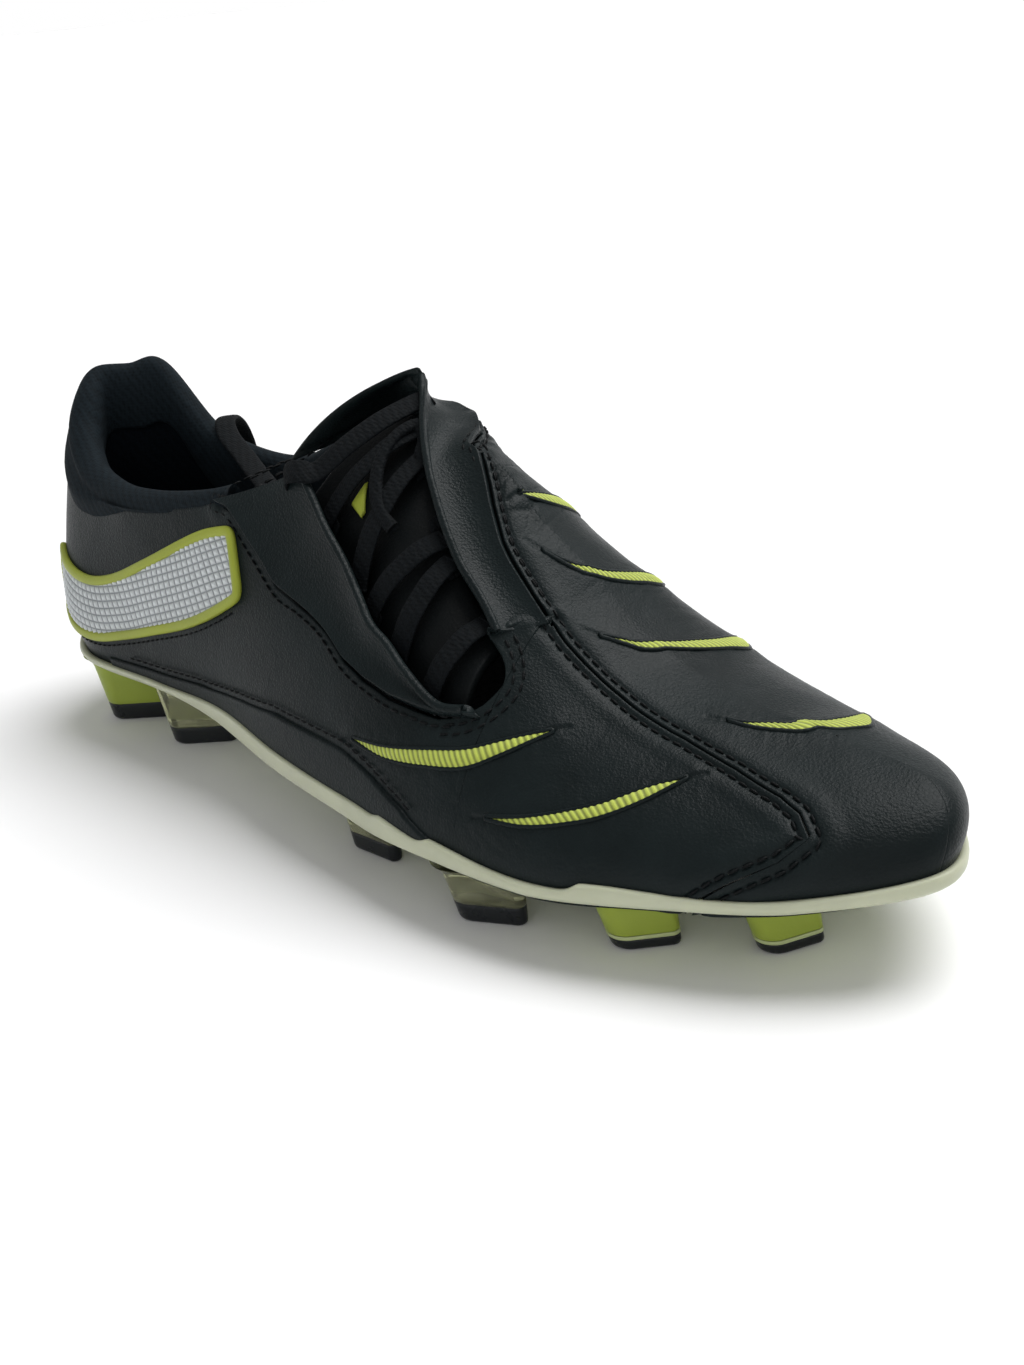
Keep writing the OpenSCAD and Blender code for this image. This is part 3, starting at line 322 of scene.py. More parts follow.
# the grey tongue leather is set darker than the black leather: painted shade for the shade in the throat
M_tongue_painted_shade = leather("tongue_leather", base=(0.0035, 0.0046, 0.005), rough=0.5)
M_collar = textile("collar_textile", (0.0052, 0.0088, 0.0115), 0.0009, 0.85, 0.0, depth=0.00016)
M_lining = textile("lining_textile", (0.0016, 0.0034, 0.0056), 0.0012, 0.9, 0.0)
M_sock = textile("sockliner_textile", (0.016, 0.017, 0.019), 0.0014, 0.85, 0.05)
M_thread = textile("thread", (0.0022, 0.003, 0.0034), 0.0004, 0.6, 0.0, depth=0.0001)
M_rim = plastic("pale_rim", (0.47, 0.49, 0.36), 0.36, sss=0.12, spec=0.3)
M_plate = plastic("pale_plate", (0.45, 0.48, 0.33), 0.38, sss=0.1, spec=0.3)
M_limestud = plastic("lime_stud", (0.30, 0.37, 0.05), 0.32, sss=0.12, spec=0.35)
M_paleline = plastic("pale_line", (0.46, 0.52, 0.25), 0.35)
M_smoke = plastic("smoke_stud", (0.4, 0.41, 0.24), 0.1, trans=0.82, ior=1.4, mott=0.3)
M_tip = plastic("stud_tip", (0.01, 0.012, 0.014), 0.28, spec=0.3)
M_clip = plastic("dark_shell", (0.014, 0.016, 0.013), 0.2, spec=0.5)
M_border = plastic("lime_border", (0.30, 0.345, 0.04), 0.42, bumpd=0.00012, spec=0.25)
def film(name):
    """pearl film: painted shade darkens each raised square from its centre down into the groove between squares, UV
    counts squares
    """
    m, nt, b = new_mat(name); v = coords(nt, kind="UV"); sp = nt.nodes.new("ShaderNodeSeparateXYZ"); nt.links.new(v, sp.inputs[0])
    def saw(o):
        f = math_n(nt, "FRACT", o, 0.0); return math_n(nt, "MULTIPLY", math_n(nt, "ABSOLUTE", math_n(nt, "SUBTRACT", f, 0.5), 0.0), 2.0)
    g = math_n(nt, "MAXIMUM", saw(sp.outputs[0]), saw(sp.outputs[1])); n = noise_n(nt, coords(nt), 220, 3)
    g = math_n(nt, "ADD", g, math_n(nt, "MULTIPLY", n, 0.06))
    # painted shade: pale at the centre of each square, darkest in the groove between them
    c = ramp(nt, g, [(0.2, (0.66, 0.69, 0.7)), (0.74, (0.5, 0.53, 0.54)), (0.93, (0.24, 0.26, 0.27))])
    nt.links.new(c.outputs[0], b.inputs["Base Color"])
    r = ramp(nt, g, [(0.3, (0.3,) * 3), (0.95, (0.5,) * 3)]); nt.links.new(r.outputs[0], b.inputs["Roughness"])
    b.inputs["Specular IOR Level"].default_value = 0.4
    return m
M_silver = film("silver_film")
M_rib = ribbed("lime_rib", (0.40, 0.47, 0.06), 0.00145, 0.00003)
M_lace = textile("lace_cord", (0.0020, 0.0030, 0.0038), 0.0008, 0.8, 0.0, depth=0.0003)
M_hidden = plastic("inner_shell", (0.55, 0.55, 0.5), 0.6)
# the insole board is painted near-black: painted shade for the inside of the shoe
M_board = plastic("fibre_board_painted_shade", (0.012, 0.012, 0.012), 0.75, mott=0.3, bumpd=0.00012, spec=0.15)
for nm, mt in (("outsole_plate", M_plate), ("insole_board", M_board), ("heel_counter", M_hidden), ("toe_puff", M_hidden), ("collar_foam", M_lining),
               ("sockliner", M_sock), ("outsole_rim", M_rim), ("heel_lining", M_lining), ("outer_lining", M_lining), ("toe_lining", M_lining), ("inner_lining", M_lining), ("collar_roll", M_collar), ("vamp_and_inner_quarter", M_leather),
               ("outer_quarter", M_leather), ("heel_cap", M_leather), ("heel_clip", M_clip), ("outer_eyestay", M_flap), ("inner_eyestay_flap", M_flap),
               ("outer_foxing", M_leather), ("inner_foxing", M_leather), ("outer_crest", M_silver), ("inner_crest", M_silver), ("outer_crest_border", M_border),
               ("inner_crest_border", M_border), ("outer_slashes", M_rib), ("inner_slashes", M_rib), ("tongue", M_tongue_painted_shade), ("tongue_mark", M_border),
               ("lace", M_lace), ("lace_tail", M_lace), ("lace_aglet", M_tip), ("outer_lace_loops", M_lace), ("inner_lace_loops", M_lace)):
    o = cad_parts[nm]; o.data.materials.clear(); o.data.materials.append(mt)
for nm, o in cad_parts.items():
    if nm.startswith("stud_"):
        o.data.materials.clear()
        o.data.materials.append(M_smoke if nm in ("stud_heel_outer_front", "stud_heel_inner_front", "stud_fore_outer_a", "stud_fore_outer_b", "stud_fore_inner_a") else M_limestud)
    if nm.startswith("tip_"): o.data.materials.clear(); o.data.materials.append(M_tip)

# ------------------------------------------------------------------ shared curves, in k (round the outline) and w (over the upper)
def tab(x, pts):
    p = np.asarray(pts, float); return np.interp(x, p[:, 0], p[:, 1])
SEAM = [[1, 1], [5.2, 1], [5.6, 1.13], [6.2, 1.19], [6.75, 1.12], [7.05, 1.02], [7.3, 0.96], [7.55, 0.91], [7.8, 0.87], [8.2, 0.83], [8.55, 0.8], [9.05, 0.78], [9.65, 0.74], [10.1, 0.69], [10.5, 0.62], [10.7, 0.56], [10.87, 0.45], [10.9, -0.09], [12, -0.09]]
def seam_w(k): return tab(k, SEAM)
QTOP = [[1, 1], [5.1, 1], [5.3, 0.94], [5.6, 0.76], [5.95, 0.6], [6.25, 0.54], [6.57, 0.48], [6.85, 0.42], [7.1, 0.4], [7.44, 0.4], [7.75, 0.42], [8, 0.44], [8.1, 0.46], [8.18, 0.485], [8.25, 0.512], [8.3, 0.54], [8.335, 0.572], [8.35, 0.59], [8.36, 0.61], [8.365, 0.81], [8.42, 0.806], [8.55, 0.795]]
LEATHER_TOP = [[0, 0.83], [2.2, 0.82], [2.8, 0.84], [3.3, 0.875], [3.7, 0.94], [4.0, 0.985], [12, 0.985]]
LE = [[45, -37, 46.5], [38, -38, 46.5], [27, -36, 51], [19, -34, 55.5], [13, -33, 58.5], [6, -30, 63.5], [-3, -26, 69], [-12, -23, 74.5], [-19, -20, 79], [-26, -17.5, 85]]
FE = [[42.5, -23, 58], [40, -22, 60], [35, -20, 63.5], [27, -18, 69.5], [20, -15, 75.5], [13, -11, 81.5], [4, -5, 88.5], [-3, 1, 95], [-9, 7.5, 100], [-14, 13, 103.5]]
LS = [[8.34, 0.5], [8, 0.445], [7.75, 0.425], [7.44, 0.405], [7.1, 0.405], [6.85, 0.425], [6.57, 0.485], [6.25, 0.545], [5.95, 0.605], [5.6, 0.765], [5.3, 0.945], [5.12, 1]]
FS = [[8.42, 0.806], [8.2, 0.826], [7.95, 0.85], [7.8, 0.866], [7.55, 0.906], [7.3, 0.956], [7.05, 1.014], [6.75, 1.114], [6.2, 1.184], [5.6, 1.124], [5.2, 0.998]]
CU = [[2, 0.5], [2.8, 0.5], [3.3, 0.51], [3.7, 0.57], [4.3, 0.71], [4.75, 0.81], [5.05, 0.85], [5.35, 0.84]]
CL = [[2, 0.24], [2.8, 0.18], [3.3, 0.18], [3.7, 0.24], [4.2, 0.33], [4.75, 0.42], [5.2, 0.51], [5.5, 0.57]]
IU = [[2, 0.5], [2.8, 0.5], [3.3, 0.51], [3.7, 0.55], [4.3, 0.62], [4.8, 0.66], [5.2, 0.67], [5.6, 0.64]]
IL = [[2, 0.24], [2.8, 0.18], [3.3, 0.18], [3.7, 0.22], [4.2, 0.27], [4.8, 0.32], [5.3, 0.37], [5.66, 0.41]]
SL_OUT = [([[7.1, 0.26], [7.5, 0.29], [7.95, 0.35], [8.29, 0.41], [8.54, 0.49], [8.8, 0.59]], [[7.11, 0.25], [7.52, 0.26], [7.97, 0.305], [8.32, 0.36], [8.56, 0.45], [8.81, 0.58]]),
          ([[8.6, 0.265], [8.85, 0.31], [9.11, 0.37], [9.37, 0.44], [9.6, 0.53], [9.82, 0.61]], [[8.61, 0.255], [8.88, 0.28], [9.16, 0.33], [9.42, 0.39], [9.64, 0.48], [9.83, 0.6]])]
SL_IN = [([[7.59, 0.99], [7.57, 1.07], [7.52, 1.14], [7.43, 1.21], [7.3, 1.3], [7.18, 1.38]], [[7.6, 0.99], [7.65, 1.07], [7.64, 1.14], [7.57, 1.21], [7.44, 1.3], [7.2, 1.39]]),
         ([[8.03, 0.935], [8.18, 0.96], [8.28, 0.99], [8.34, 1.04], [8.34, 1.1], [8.3, 1.17], [8.2, 1.27], [8.05, 1.38]], [[8.04, 0.933], [8.22, 0.958], [8.34, 0.985], [8.41, 1.03], [8.43, 1.1], [8.4, 1.17], [8.3, 1.28], [8.07, 1.4]]),
         ([[8.68, 0.885], [8.79, 0.92], [8.9, 0.955], [9, 1.02], [9.01, 1.11], [8.95, 1.22], [8.78, 1.36], [8.6, 1.47]], [[8.69, 0.882], [8.84, 0.918], [8.97, 0.95], [9.08, 1.01], [9.12, 1.11], [9.07, 1.22], [8.93, 1.36], [8.63, 1.49]]),
         ([[9.84, 0.868], [10, 0.89], [10.2, 0.93], [10.4, 0.975], [10.48, 1.05], [10.4, 1.14], [10.25, 1.25], [10.05, 1.38]], [[9.86, 0.865], [10.05, 0.878], [10.28, 0.91], [10.52, 0.955], [10.7, 1.03], [10.62, 1.13], [10.45, 1.25], [10.08, 1.4]])]
FOX = [[3.4, 0.06], [4.4, 0.08], [5, 0.11], [5.5, 0.16], [6, 0.2], [7, 0.21], [7.4, 0.19], [7.8, 0.15], [8.2, 0.06]]
TAIL = [[-30, -17, 79], [-37, -15, 76], [-45, -12, 73], [-55, -7, 71], [-66, -1, 71.5], [-78, 4, 73], [-90, 9, 75], [-102, 13.5, 77.5], [-110, 18, 79.5], [-115, 23, 79.5], [-118, 27.5, 76], [-119, 30, 70.5], [-119, 31, 64], [-119, 32, 57], [-118.5, 33, 50]]
def along_lin(P, s):
    P = np.asarray(P, float); n = len(P) - 1; x = np.clip(s, 0, 1) * n
    return np.stack([np.interp(x, np.arange(n + 1), P[:, i]) for i in range(P.shape[1])], -1)
def skin(K, W, h=0.0):
    P, n = kw(K, W); return P + n * np.asarray(h, float)[..., None] if np.ndim(h) else P + n * h
def curve_pts(P, step=0.8, leaned=True, h=0.0):
    """k, w polyline to evenly spaced points on the upper, with normals"""
    P = np.asarray(P, float); s = np.linspace(0, 1, 400)
    Q = along_lin(P, s) if len(P) > 60 else along(P, s)
    K = lean(Q[:, 0], Q[:, 1]) if leaned else Q[:, 0]
    X, n = kw(K, Q[:, 1]); X = X + n * h
    d = np.r_[0, np.cumsum(np.linalg.norm(np.diff(X, axis=0), axis=1))]
    m = max(3, int(d[-1] / step)); q = np.linspace(0, d[-1], m)
    X2 = np.column_stack([np.interp(q, d, X[:, i]) for i in range(3)]); n2 = unit(np.column_stack([np.interp(q, d, n[:, i]) for i in range(3)]))
    return X2, n2
def dist(P, C):
    """distance from points (…,3) to a dense list of points"""
    S = P.reshape(-1, 3); out = np.full(len(S), 1e9)
    for a in range(0, len(S), 20000):
        B = S[a:a + 20000]; best = np.full(len(B), 1e9)
        for c in range(0, len(C), 60):
            D = ((B[:, None, :] - C[None, c:c + 60, :]) ** 2).sum(-1).min(1); best = np.minimum(best, D)
        out[a:a + 20000] = best
    return np.sqrt(out).reshape(P.shape[:-1])
def gauss(d, c, s): return np.exp(-((d - c) / s) ** 2)
main_seam = [[k, seam_w(k)] for k in np.linspace(7.3, 10.87, 60)] + [[10.885, w] for w in np.linspace(0.43, -0.05, 20)]
SEAM_X, SEAM_N = curve_pts(main_seam, 0.8)
FLAP_X, FLAP_N = curve_pts(FS, 0.8, False)
BASE_X, BASE_N = curve_pts([[8.12, 0.682], [8.2, 0.672], [8.28, 0.655], [8.34, 0.628], [8.36, 0.6], [8.34, 0.565], [8.28, 0.52], [8.18, 0.48], [8.06, 0.455], [7.94, 0.438]], 0.6, False)
PLEAT_X, PLEAT_N = curve_pts([[8.08, 0.68], [8.2, 0.75], [8.3, 0.8], [8.42, 0.83]], 0.6, False)
TIP_X = np.concatenate([curve_pts(q, 0.6, False)[0] for q in ([[8.8, 0.585], [8.88, 0.62]], [[9.82, 0.605], [9.92, 0.64]], [[8.69, 0.884], [8.58, 0.86]], [[9.85, 0.867], [9.68, 0.85]], [[8.03, 0.934], [7.9, 0.92]], [[7.6, 0.99], [7.6, 0.95]], [[8.6, 0.26], [8.5, 0.24]], [[7.1, 0.255], [7.0, 0.235]])])
STAY_X, STAY_N = curve_pts(LS, 0.8, False)
FOX_X, FOX_N = curve_pts(FOX, 0.8, False)
def lens_line(U, L, n=70):
    s = np.linspace(0, 1, n); return np.concatenate([along(U, s), along(L, s[::-1])])
SLASH = []
for U, L in SL_OUT + SL_IN:
    Q = lens_line(U, L); K = Q[:, 0]; X, n_ = kw(K, Q[:, 1]); SLASH.append((Q, X, n_))
SLASH_X = np.concatenate([x for _, x, _ in SLASH])
def inside(Q, K, W):
    """is k, w inside the closed outline Q"""
    x, y = K.ravel(), W.ravel(); r = np.zeros(len(x), bool); a = Q; b = np.roll(Q, -1, 0)
    for (x0, y0), (x1, y1) in zip(a, b):
        if y0 == y1: continue
        c = ((y0 > y) != (y1 > y)) & (x < (x1 - x0) * (y - y0) / (y1 - y0) + x0); r ^= c
    return r.reshape(K.shape)

def relief(P, K, W):
    """height of the outer leather over its plain form, mm"""
    h = 0.18 * noise3(P, 26, 1) + 0.09 * noise3(P, 9, 2)
    ds = dist(P, SEAM_X); df = dist(P, FLAP_X); d = np.minimum(ds, df)
    h = h + 0.42 * np.clip(1 - (d / 1.7) ** 2, 0, 1) - 0.34 * gauss(d, 2.0, 0.45) + 0.32 * gauss(d, 4.6, 2.2)
    # slashes: leather stands up round them and falls away inside
    dl = dist(P, SLASH_X)
    h = h + 0.42 * np.exp(-(dl / 4.2) ** 2)
    ins = np.zeros(K.shape, bool)
    for Q, _, _ in SLASH: ins |= inside(Q, K, W)
    h = np.where(ins, h - 1.7 * smooth(0.0, 0.5, dl), h)
    h = h - 0.55 * gauss(dist(P, TIP_X), 0, 0.55) - 0.5 * gauss(dist(P, PLEAT_X), 0, 0.6) + 0.3 * gauss(dist(P, PLEAT_X), 2.2, 1.2)
    # fine creases across the vamp between the flap seam and the inner slashes, and at the flex line
    cr = noise3(np.stack([P[..., 0] * 1.0 + P[..., 1] * 0.5, P[..., 1] * 0.16, P[..., 2] * 0.9], -1), 1.9, 5)
    cr2 = noise3(np.stack([P[..., 0] * 1.0, P[..., 1] * 0.2, P[..., 2] * 0.8], -1), 4.2, 6)
    m = np.exp(-(np.clip(df - 2, 0, 99) / 11) ** 2) * smooth(6.1, 6.6, K) * smooth(8.4, 7.7, K) * smooth(0.9, 1.0, W)
    h = h - 0.46 * m * (1 - np.abs(cr)) ** 3 - 0.4 * m * np.abs(cr2)
    m2 = smooth(7.6, 8.3, K) * smooth(10.2, 9.2, K) * 0.6
    h = h - 0.14 * m2 * (1 - np.abs(cr2)) ** 4
    m3 = np.exp(-(dl / 6) ** 2)
    h = h - 0.1 * m3 * (1 - np.abs(cr)) ** 3
    return h

def cross_pos(L, m, r=0.9):
    L = np.maximum(np.asarray(L, float), 0.5)[:, None]; e = np.array([0, 0.1, 0.3, 0.6, 1.0])
    a = e[None] * np.minimum(r / L, 0.3); mid = np.linspace(0, 1, m)[1:-1][None]
    return np.concatenate([a, a[:, -1:] + (1 - 2 * a[:, -1:]) * mid, 1 - a[:, ::-1]], 1)
def round_edge(d, r): 
    x = np.clip(1 - d / r, 0, 1); return -r * (1 - np.sqrt(1 - x * x))
def panel(name, K, lo, hi, m, th=0.0, under=-1.4, r=0.8, ends=(True, True), sides=(True, True), fn=None, leaned=True, **kwargs):
    K = np.asarray(K, float); q = np.linspace(0, 1, 30)[None]
    Wq = lo[:, None] + (hi - lo)[:, None] * q; Kq = np.broadcast_to(K[:, None], Wq.shape)
    P, _ = kw(lean(Kq, Wq) if leaned else Kq, Wq); L = np.linalg.norm(np.diff(P, axis=1), axis=2).sum(1)
    W = lo[:, None] + (hi - lo)[:, None] * cross_pos(L, m, r); Kg = np.broadcast_to(K[:, None], W.shape)
    Kg = lean(Kg, W) if leaned else Kg
    P, n = kw(Kg, W)
    z0 = np.zeros((P.shape[0], 1)); a = np.concatenate([z0, np.cumsum(np.linalg.norm(np.diff(P, axis=1), axis=2), 1)], 1)
    z1 = np.zeros((1, P.shape[1])); b = np.concatenate([z1, np.cumsum(np.linalg.norm(np.diff(P, axis=0), axis=2), 0)], 0)
    d = np.full(W.shape, 1e9)
    if sides[0]: d = np.minimum(d, a)
    if sides[1]: d = np.minimum(d, a[:, -1:] - a)
    if ends[0]: d = np.minimum(d, b)
    if ends[1]: d = np.minimum(d, b[-1:] - b)
    h = th + round_edge(d, r) + (fn(P, Kg, W) if fn else 0)
    uv = np.stack([b, a], -1) * MM
    return shell(name, P + n * h[..., None], P + n * under, uv, **kwargs)
def dense(a, b, n, e=0.0, r=0.02):
    """values a to b, closer at the ends"""
    k = np.array([0, 0.1, 0.3, 0.6]) * r
    return np.r_[a + k, np.linspace(a + r, b - r, n), b - k[::-1]]

def stitches(name, X, Nn, pitch=3.1, length=2.3, dia=0.62, lift=0.1, mat=None, body="shoe", skip=0):
    d = np.r_[0, np.cumsum(np.linalg.norm(np.diff(X, axis=0), axis=1))]
    n = max(1, int(d[-1] / pitch) - 1); c = (np.arange(n) + 0.7) * pitch
    V = []; F = []; m = 6; off = np.array([-0.5, -0.42, -0.2, 0.2, 0.42, 0.5]); rad = np.array([0.25, 0.8, 1, 1, 0.8, 0.25]); dip = np.array([-0.55, -0.12, 0.05, 0.05, -0.12, -0.55])
    at = lambda q: np.column_stack([np.interp(q, d, X[:, i]) for i in range(3)])
    nr = unit(np.column_stack([np.interp(c, d, Nn[:, i]) for i in range(3)]))
    tg = unit(at(c + 0.4) - at(c - 0.4)); sd = unit(np.cross(nr, tg)); P0 = at(c)
    ang = np.arange(m) * 2 * np.pi / m
    for k in range(len(off)):
        ctr = P0 + tg * (off[k] * length) + nr * (lift + dip[k] * dia) + sd * (0.1 * off[k])
        ring = ctr[:, None] + sd[:, None] * (np.cos(ang) * dia / 2 * rad[k])[None, :, None] + nr[:, None] * (np.sin(ang) * dia / 2 * rad[k])[None, :, None]
        V.append(ring)
    V = np.stack(V, 1); q = len(off); base = np.arange(n)[:, None] * (q * m)
    f = grid_faces(q, m, 0, False, True); FF = (f[None] + base[:, :, None]).reshape(-1, 4)
    caps = []
    for i in range(n):
        caps.append(tuple(int(i * q * m + j) for j in range(m))[::-1]); caps.append(tuple(int(i * q * m + (q - 1) * m + j) for j in range(m)))
    return mesh_object(name, V.reshape(-1, 3), [tuple(int(x) for x in r_) for r_ in FF] + caps, None, mat or M_thread, body, "lace_cord")
def offset_line(X, Nn, by):
    t = unit(np.gradient(X, axis=0)); return X + unit(np.cross(Nn, t)) * by
def sweep(name, X, Nn, half, high, lift=0.0, m=10, closed=False, power=1.0, uvw=False, **kwargs):
    """oval section swept along points, side to side = half, up = high"""
    t = np.gradient(X, axis=0) if not closed else np.roll(X, -1, 0) - np.roll(X, 1, 0)
    t = unit(t); sd = unit(np.cross(Nn, t)); up = unit(np.cross(t, sd)); a = np.arange(m) * 2 * np.pi / m
    half = np.broadcast_to(half, len(X))[:, None, None]; high = np.broadcast_to(high, len(X))[:, None, None]
    c, s = np.cos(a), np.sin(a); c = np.sign(c) * np.abs(c) ** power; s = np.sign(s) * np.abs(s) ** power
    R = X[:, None] + up[:, None] * lift + sd[:, None] * (c[None, :, None] * half) + up[:, None] * (s[None, :, None] * high)
    L = np.r_[0, np.cumsum(np.linalg.norm(np.diff(X, axis=0), axis=1))]
    uv = np.stack(np.broadcast_arrays(c[None] * half[:, :, 0], L[:, None]), -1) * MM
    return tube(name, R, uv, closed, **kwargs)

# ------------------------------------------------------------------ leather panels
LT = lambda k: tab(k, LEATHER_TOP)
K1 = np.r_[np.linspace(1.3, 5.1, 90), np.linspace(5.12, 7.3, 90), np.linspace(7.32, 10.86, 230), np.linspace(10.862, 10.9, 60), np.linspace(10.905, 12, 70)]
lo1 = np.where(K1 < 5.15, 2 - LT(K1), seam_w(K1) + np.where(K1 < 10.88, 0.003, 0)); lo1 = np.where(K1 < 5.15, np.maximum(lo1, 1.004), lo1)
vamp = panel("vamp_leather", K1, lo1, np.full_like(K1, 2.09), 190, fn=relief, ends=(False, False), r=0.5, mat=M_leather, slot="black_leather")
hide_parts("vamp_and_inner_quarter")
K2 = np.r_[np.linspace(1.3, 5.0, 110), np.linspace(5.02, 8.3, 160), np.linspace(8.305, 8.359, 14), np.linspace(8.366, 8.43, 14), np.linspace(8.44, 10.87, 190)]
hi2 = np.where(K2 < 8.43, np.minimum(tab(K2, QTOP), np.where(K2 < 4.6, LT(K2), 9)), seam_w(K2)) - 0.003
quarter = panel("outer_quarter_leather", K2, np.full_like(K2, -0.09), hi2, 150, fn=relief, ends=(False, False), r=0.5, mat=M_leather, slot="black_leather")
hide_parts("outer_quarter")
KC = np.r_[8.10, 8.103, 8.108, np.linspace(8.115, 8.364, 34)]
loC = tab(KC, [[8.1, 0.682], [8.11, 0.674], [8.18, 0.669], [8.25, 0.66], [8.3, 0.648], [8.33, 0.635], [8.35, 0.62], [8.364, 0.6]]); hiC = tab(KC, [[8.1, 0.69], [8.2, 0.757], [8.3, 0.806], [8.364, 0.812]])
corner = panel("throat_corner_leather", KC, loC, hiC, 40, fn=relief, ends=(True, False), r=0.5, mat=M_leather, slot="black_leather")
uh = np.linspace(-1.3, 1.3, 60); vh = np.linspace(-0.09, 1.0, 70)
def skin_uv(u, v, h):
    return surf(u, v) + nrm(u, v) * np.asarray(h, float)[..., None]
Uh, Vq = np.meshgrid(uh, np.linspace(0, 1, 90), indexing="ij"); Vh = -0.09 + Vq * (tab(np.abs(Uh), LEATHER_TOP) + 0.09)
Ph = surf(Uh, Vh); ee = np.minimum(np.abs(Uh + 1.3), np.abs(1.3 - Uh)) * 8.0
hh = 0.15 + 0.35 * smooth(0, 1.2, ee) - 0.28 * gauss(ee, 2.2, 0.5) + 0.1 * noise3(Ph, 12, 3) + round_edge(np.abs(tab(np.abs(Uh), LEATHER_TOP) - Vh) * 70, 0.6)
cap = shell("heel_cap_leather", skin_uv(Uh, Vh, hh), skin_uv(Uh, Vh, np.full_like(Uh, -1.4)), np.stack([Uh * 8, Vh * 70], -1) * MM, mat=M_leather, slot="black_leather")
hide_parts("heel_cap")

# foxing strips
for side, nm in ((1, "outer_foxing"), (-1, "inner_foxing")):
    kf = dense(3.4, 8.2, 160); hf = tab(kf, FOX)
    lo, hi = (np.full_like(kf, 0.0), hf) if side > 0 else (np.full_like(kf, 2.0), 2 - hf)
    if side < 0: lo, hi = hi, lo
    f = panel(nm + "_leather", kf, lo, hi, 24, th=1.0, under=-0.3, r=0.9, leaned=False, fn=lambda P, K, W: 0.1 * noise3(P, 14, 8), mat=M_leather, slot="black_leather")
    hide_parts(nm)
    X, Nf = curve_pts([[k, (tab(k, FOX) if side > 0 else 2 - tab(k, FOX))] for k in np.linspace(3.7, 8.0, 40)], 0.8, False)
    stitches(nm + "_stitches", offset_line(X, Nf, (1.9 if side > 0 else -1.9)) + Nf * 0.75, Nf)

# double rows of thread along the seams
for nm, X, Nn, lift in (("vamp_seam", SEAM_X, SEAM_N, 0.0), ("flap_seam", FLAP_X[8:-6], FLAP_N[8:-6], 0.0), ("throat_base", BASE_X[3:], BASE_N[3:], 0.05), ("eyestay_seam", STAY_X[8:-30], STAY_N[8:-30], 0.1)):
    for s, tag in ((-2.0, "a"), (2.0, "b")):
        if nm == "throat_base": s = 2.0 if tag == "a" else 4.2
        if nm == "eyestay_seam" and tag == "b": s = 2.4
        stitches(nm + "_stitches_" + tag, offset_line(X, Nn, s) + Nn * (lift - 0.05), Nn)

# slashes: ribbed textile and a turned leather lip
def slash(name, U, L, node_mat, n=420, m=14):
    s = np.linspace(0, 1, n)[:, None]; t = np.linspace(0, 1, m)[None]
    a = along(U, s[:, 0])[:, None]; b = along(L, s[:, 0])[:, None]
    Q = b + (a - b) * t[..., None]
    P, nn = kw(Q[..., 0], Q[..., 1])
    d = np.r_[0, np.cumsum(np.linalg.norm(np.diff(P[:, m // 2], axis=0), axis=1))][:, None]
    wd = np.linalg.norm(P[:, -1] - P[:, 0], axis=1)[:, None]
    x = d + 0.5 * wd * (t - 0.5)
    wf = np.clip(wd / 2.6, 0, 1); h = 0.02 + 0.5 * wf + 0.42 * 4 * t * (1 - t) * np.clip(wd / 4, 0, 1) - 0.085 * wf * np.cos(2 * np.pi * x / 1.45)
    top = P + nn * h[..., None]; bot = P - nn * 1.2
    uv = np.stack([np.broadcast_to(x, h.shape), np.broadcast_to(t * wd, h.shape)], -1) * MM
    return top, bot, uv
def join_shells(name, parts, **kwargs):
    V = []; F = []; UV = []; off = 0
    for top, bot, uv in parts:
        n, m = top.shape[:2]; N_ = n * m; i0, j0 = n // 2, m // 2
        out = np.cross(top[i0, j0] - top[i0 - 1, j0], top[i0, j0] - top[i0, j0 - 1]) @ (top[i0, j0] - bot[i0, j0]); fl = out < 0
        f = [grid_faces(n, m, 0, False, False, fl), grid_faces(n, m, N_, False, False, not fl)]
        i = np.arange(n - 1); j = np.arange(m - 1)
        for w_, inv in ((np.stack([i * m, N_ + i * m, N_ + (i + 1) * m, (i + 1) * m], 1), fl), (np.stack([i * m + m - 1, (i + 1) * m + m - 1, N_ + (i + 1) * m + m - 1, N_ + i * m + m - 1], 1), fl),
                        (np.stack([j, j + 1, N_ + j + 1, N_ + j], 1), fl), (np.stack([(n - 1) * m + j, N_ + (n - 1) * m + j, N_ + (n - 1) * m + j + 1, (n - 1) * m + j + 1], 1), fl)):
            f.append(w_[:, ::-1] if inv else w_)
        F.append(np.concatenate(f) + off); V += [top.reshape(-1, 3), bot.reshape(-1, 3)]; UV += [uv.reshape(-1, 2)] * 2; off += 2 * N_
    return mesh_object(name, np.concatenate(V), np.concatenate(F), np.concatenate(UV), **kwargs)
o = join_shells("outer_slash_ribs", [slash("a", U, L, None) for U, L in SL_OUT], mat=M_rib, slot="lime_textile"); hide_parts("outer_slashes")
o = join_shells("inner_slash_ribs", [slash("a", U, L, None) for U, L in SL_IN], mat=M_rib, slot="lime_textile"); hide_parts("inner_slashes")
for i, (Q, X, nn) in enumerate(SLASH):
    d = np.r_[0, np.cumsum(np.linalg.norm(np.diff(np.r_[X, X[:1]], axis=0), axis=1))]; q = np.linspace(0, d[-1], int(d[-1] / 0.7) + 1)[:-1]
    Xr = np.column_stack([np.interp(q, d, np.r_[X[:, c], X[:1, c]]) for c in range(3)]); Nr = unit(np.column_stack([np.interp(q, d, np.r_[nn[:, c], nn[:1, c]]) for c in range(3)]))
    sweep("slash_lip_%d" % i, Xr, Nr, 0.5, 0.5, 0.34, 8, True, mat=M_leather, slot="black_leather")

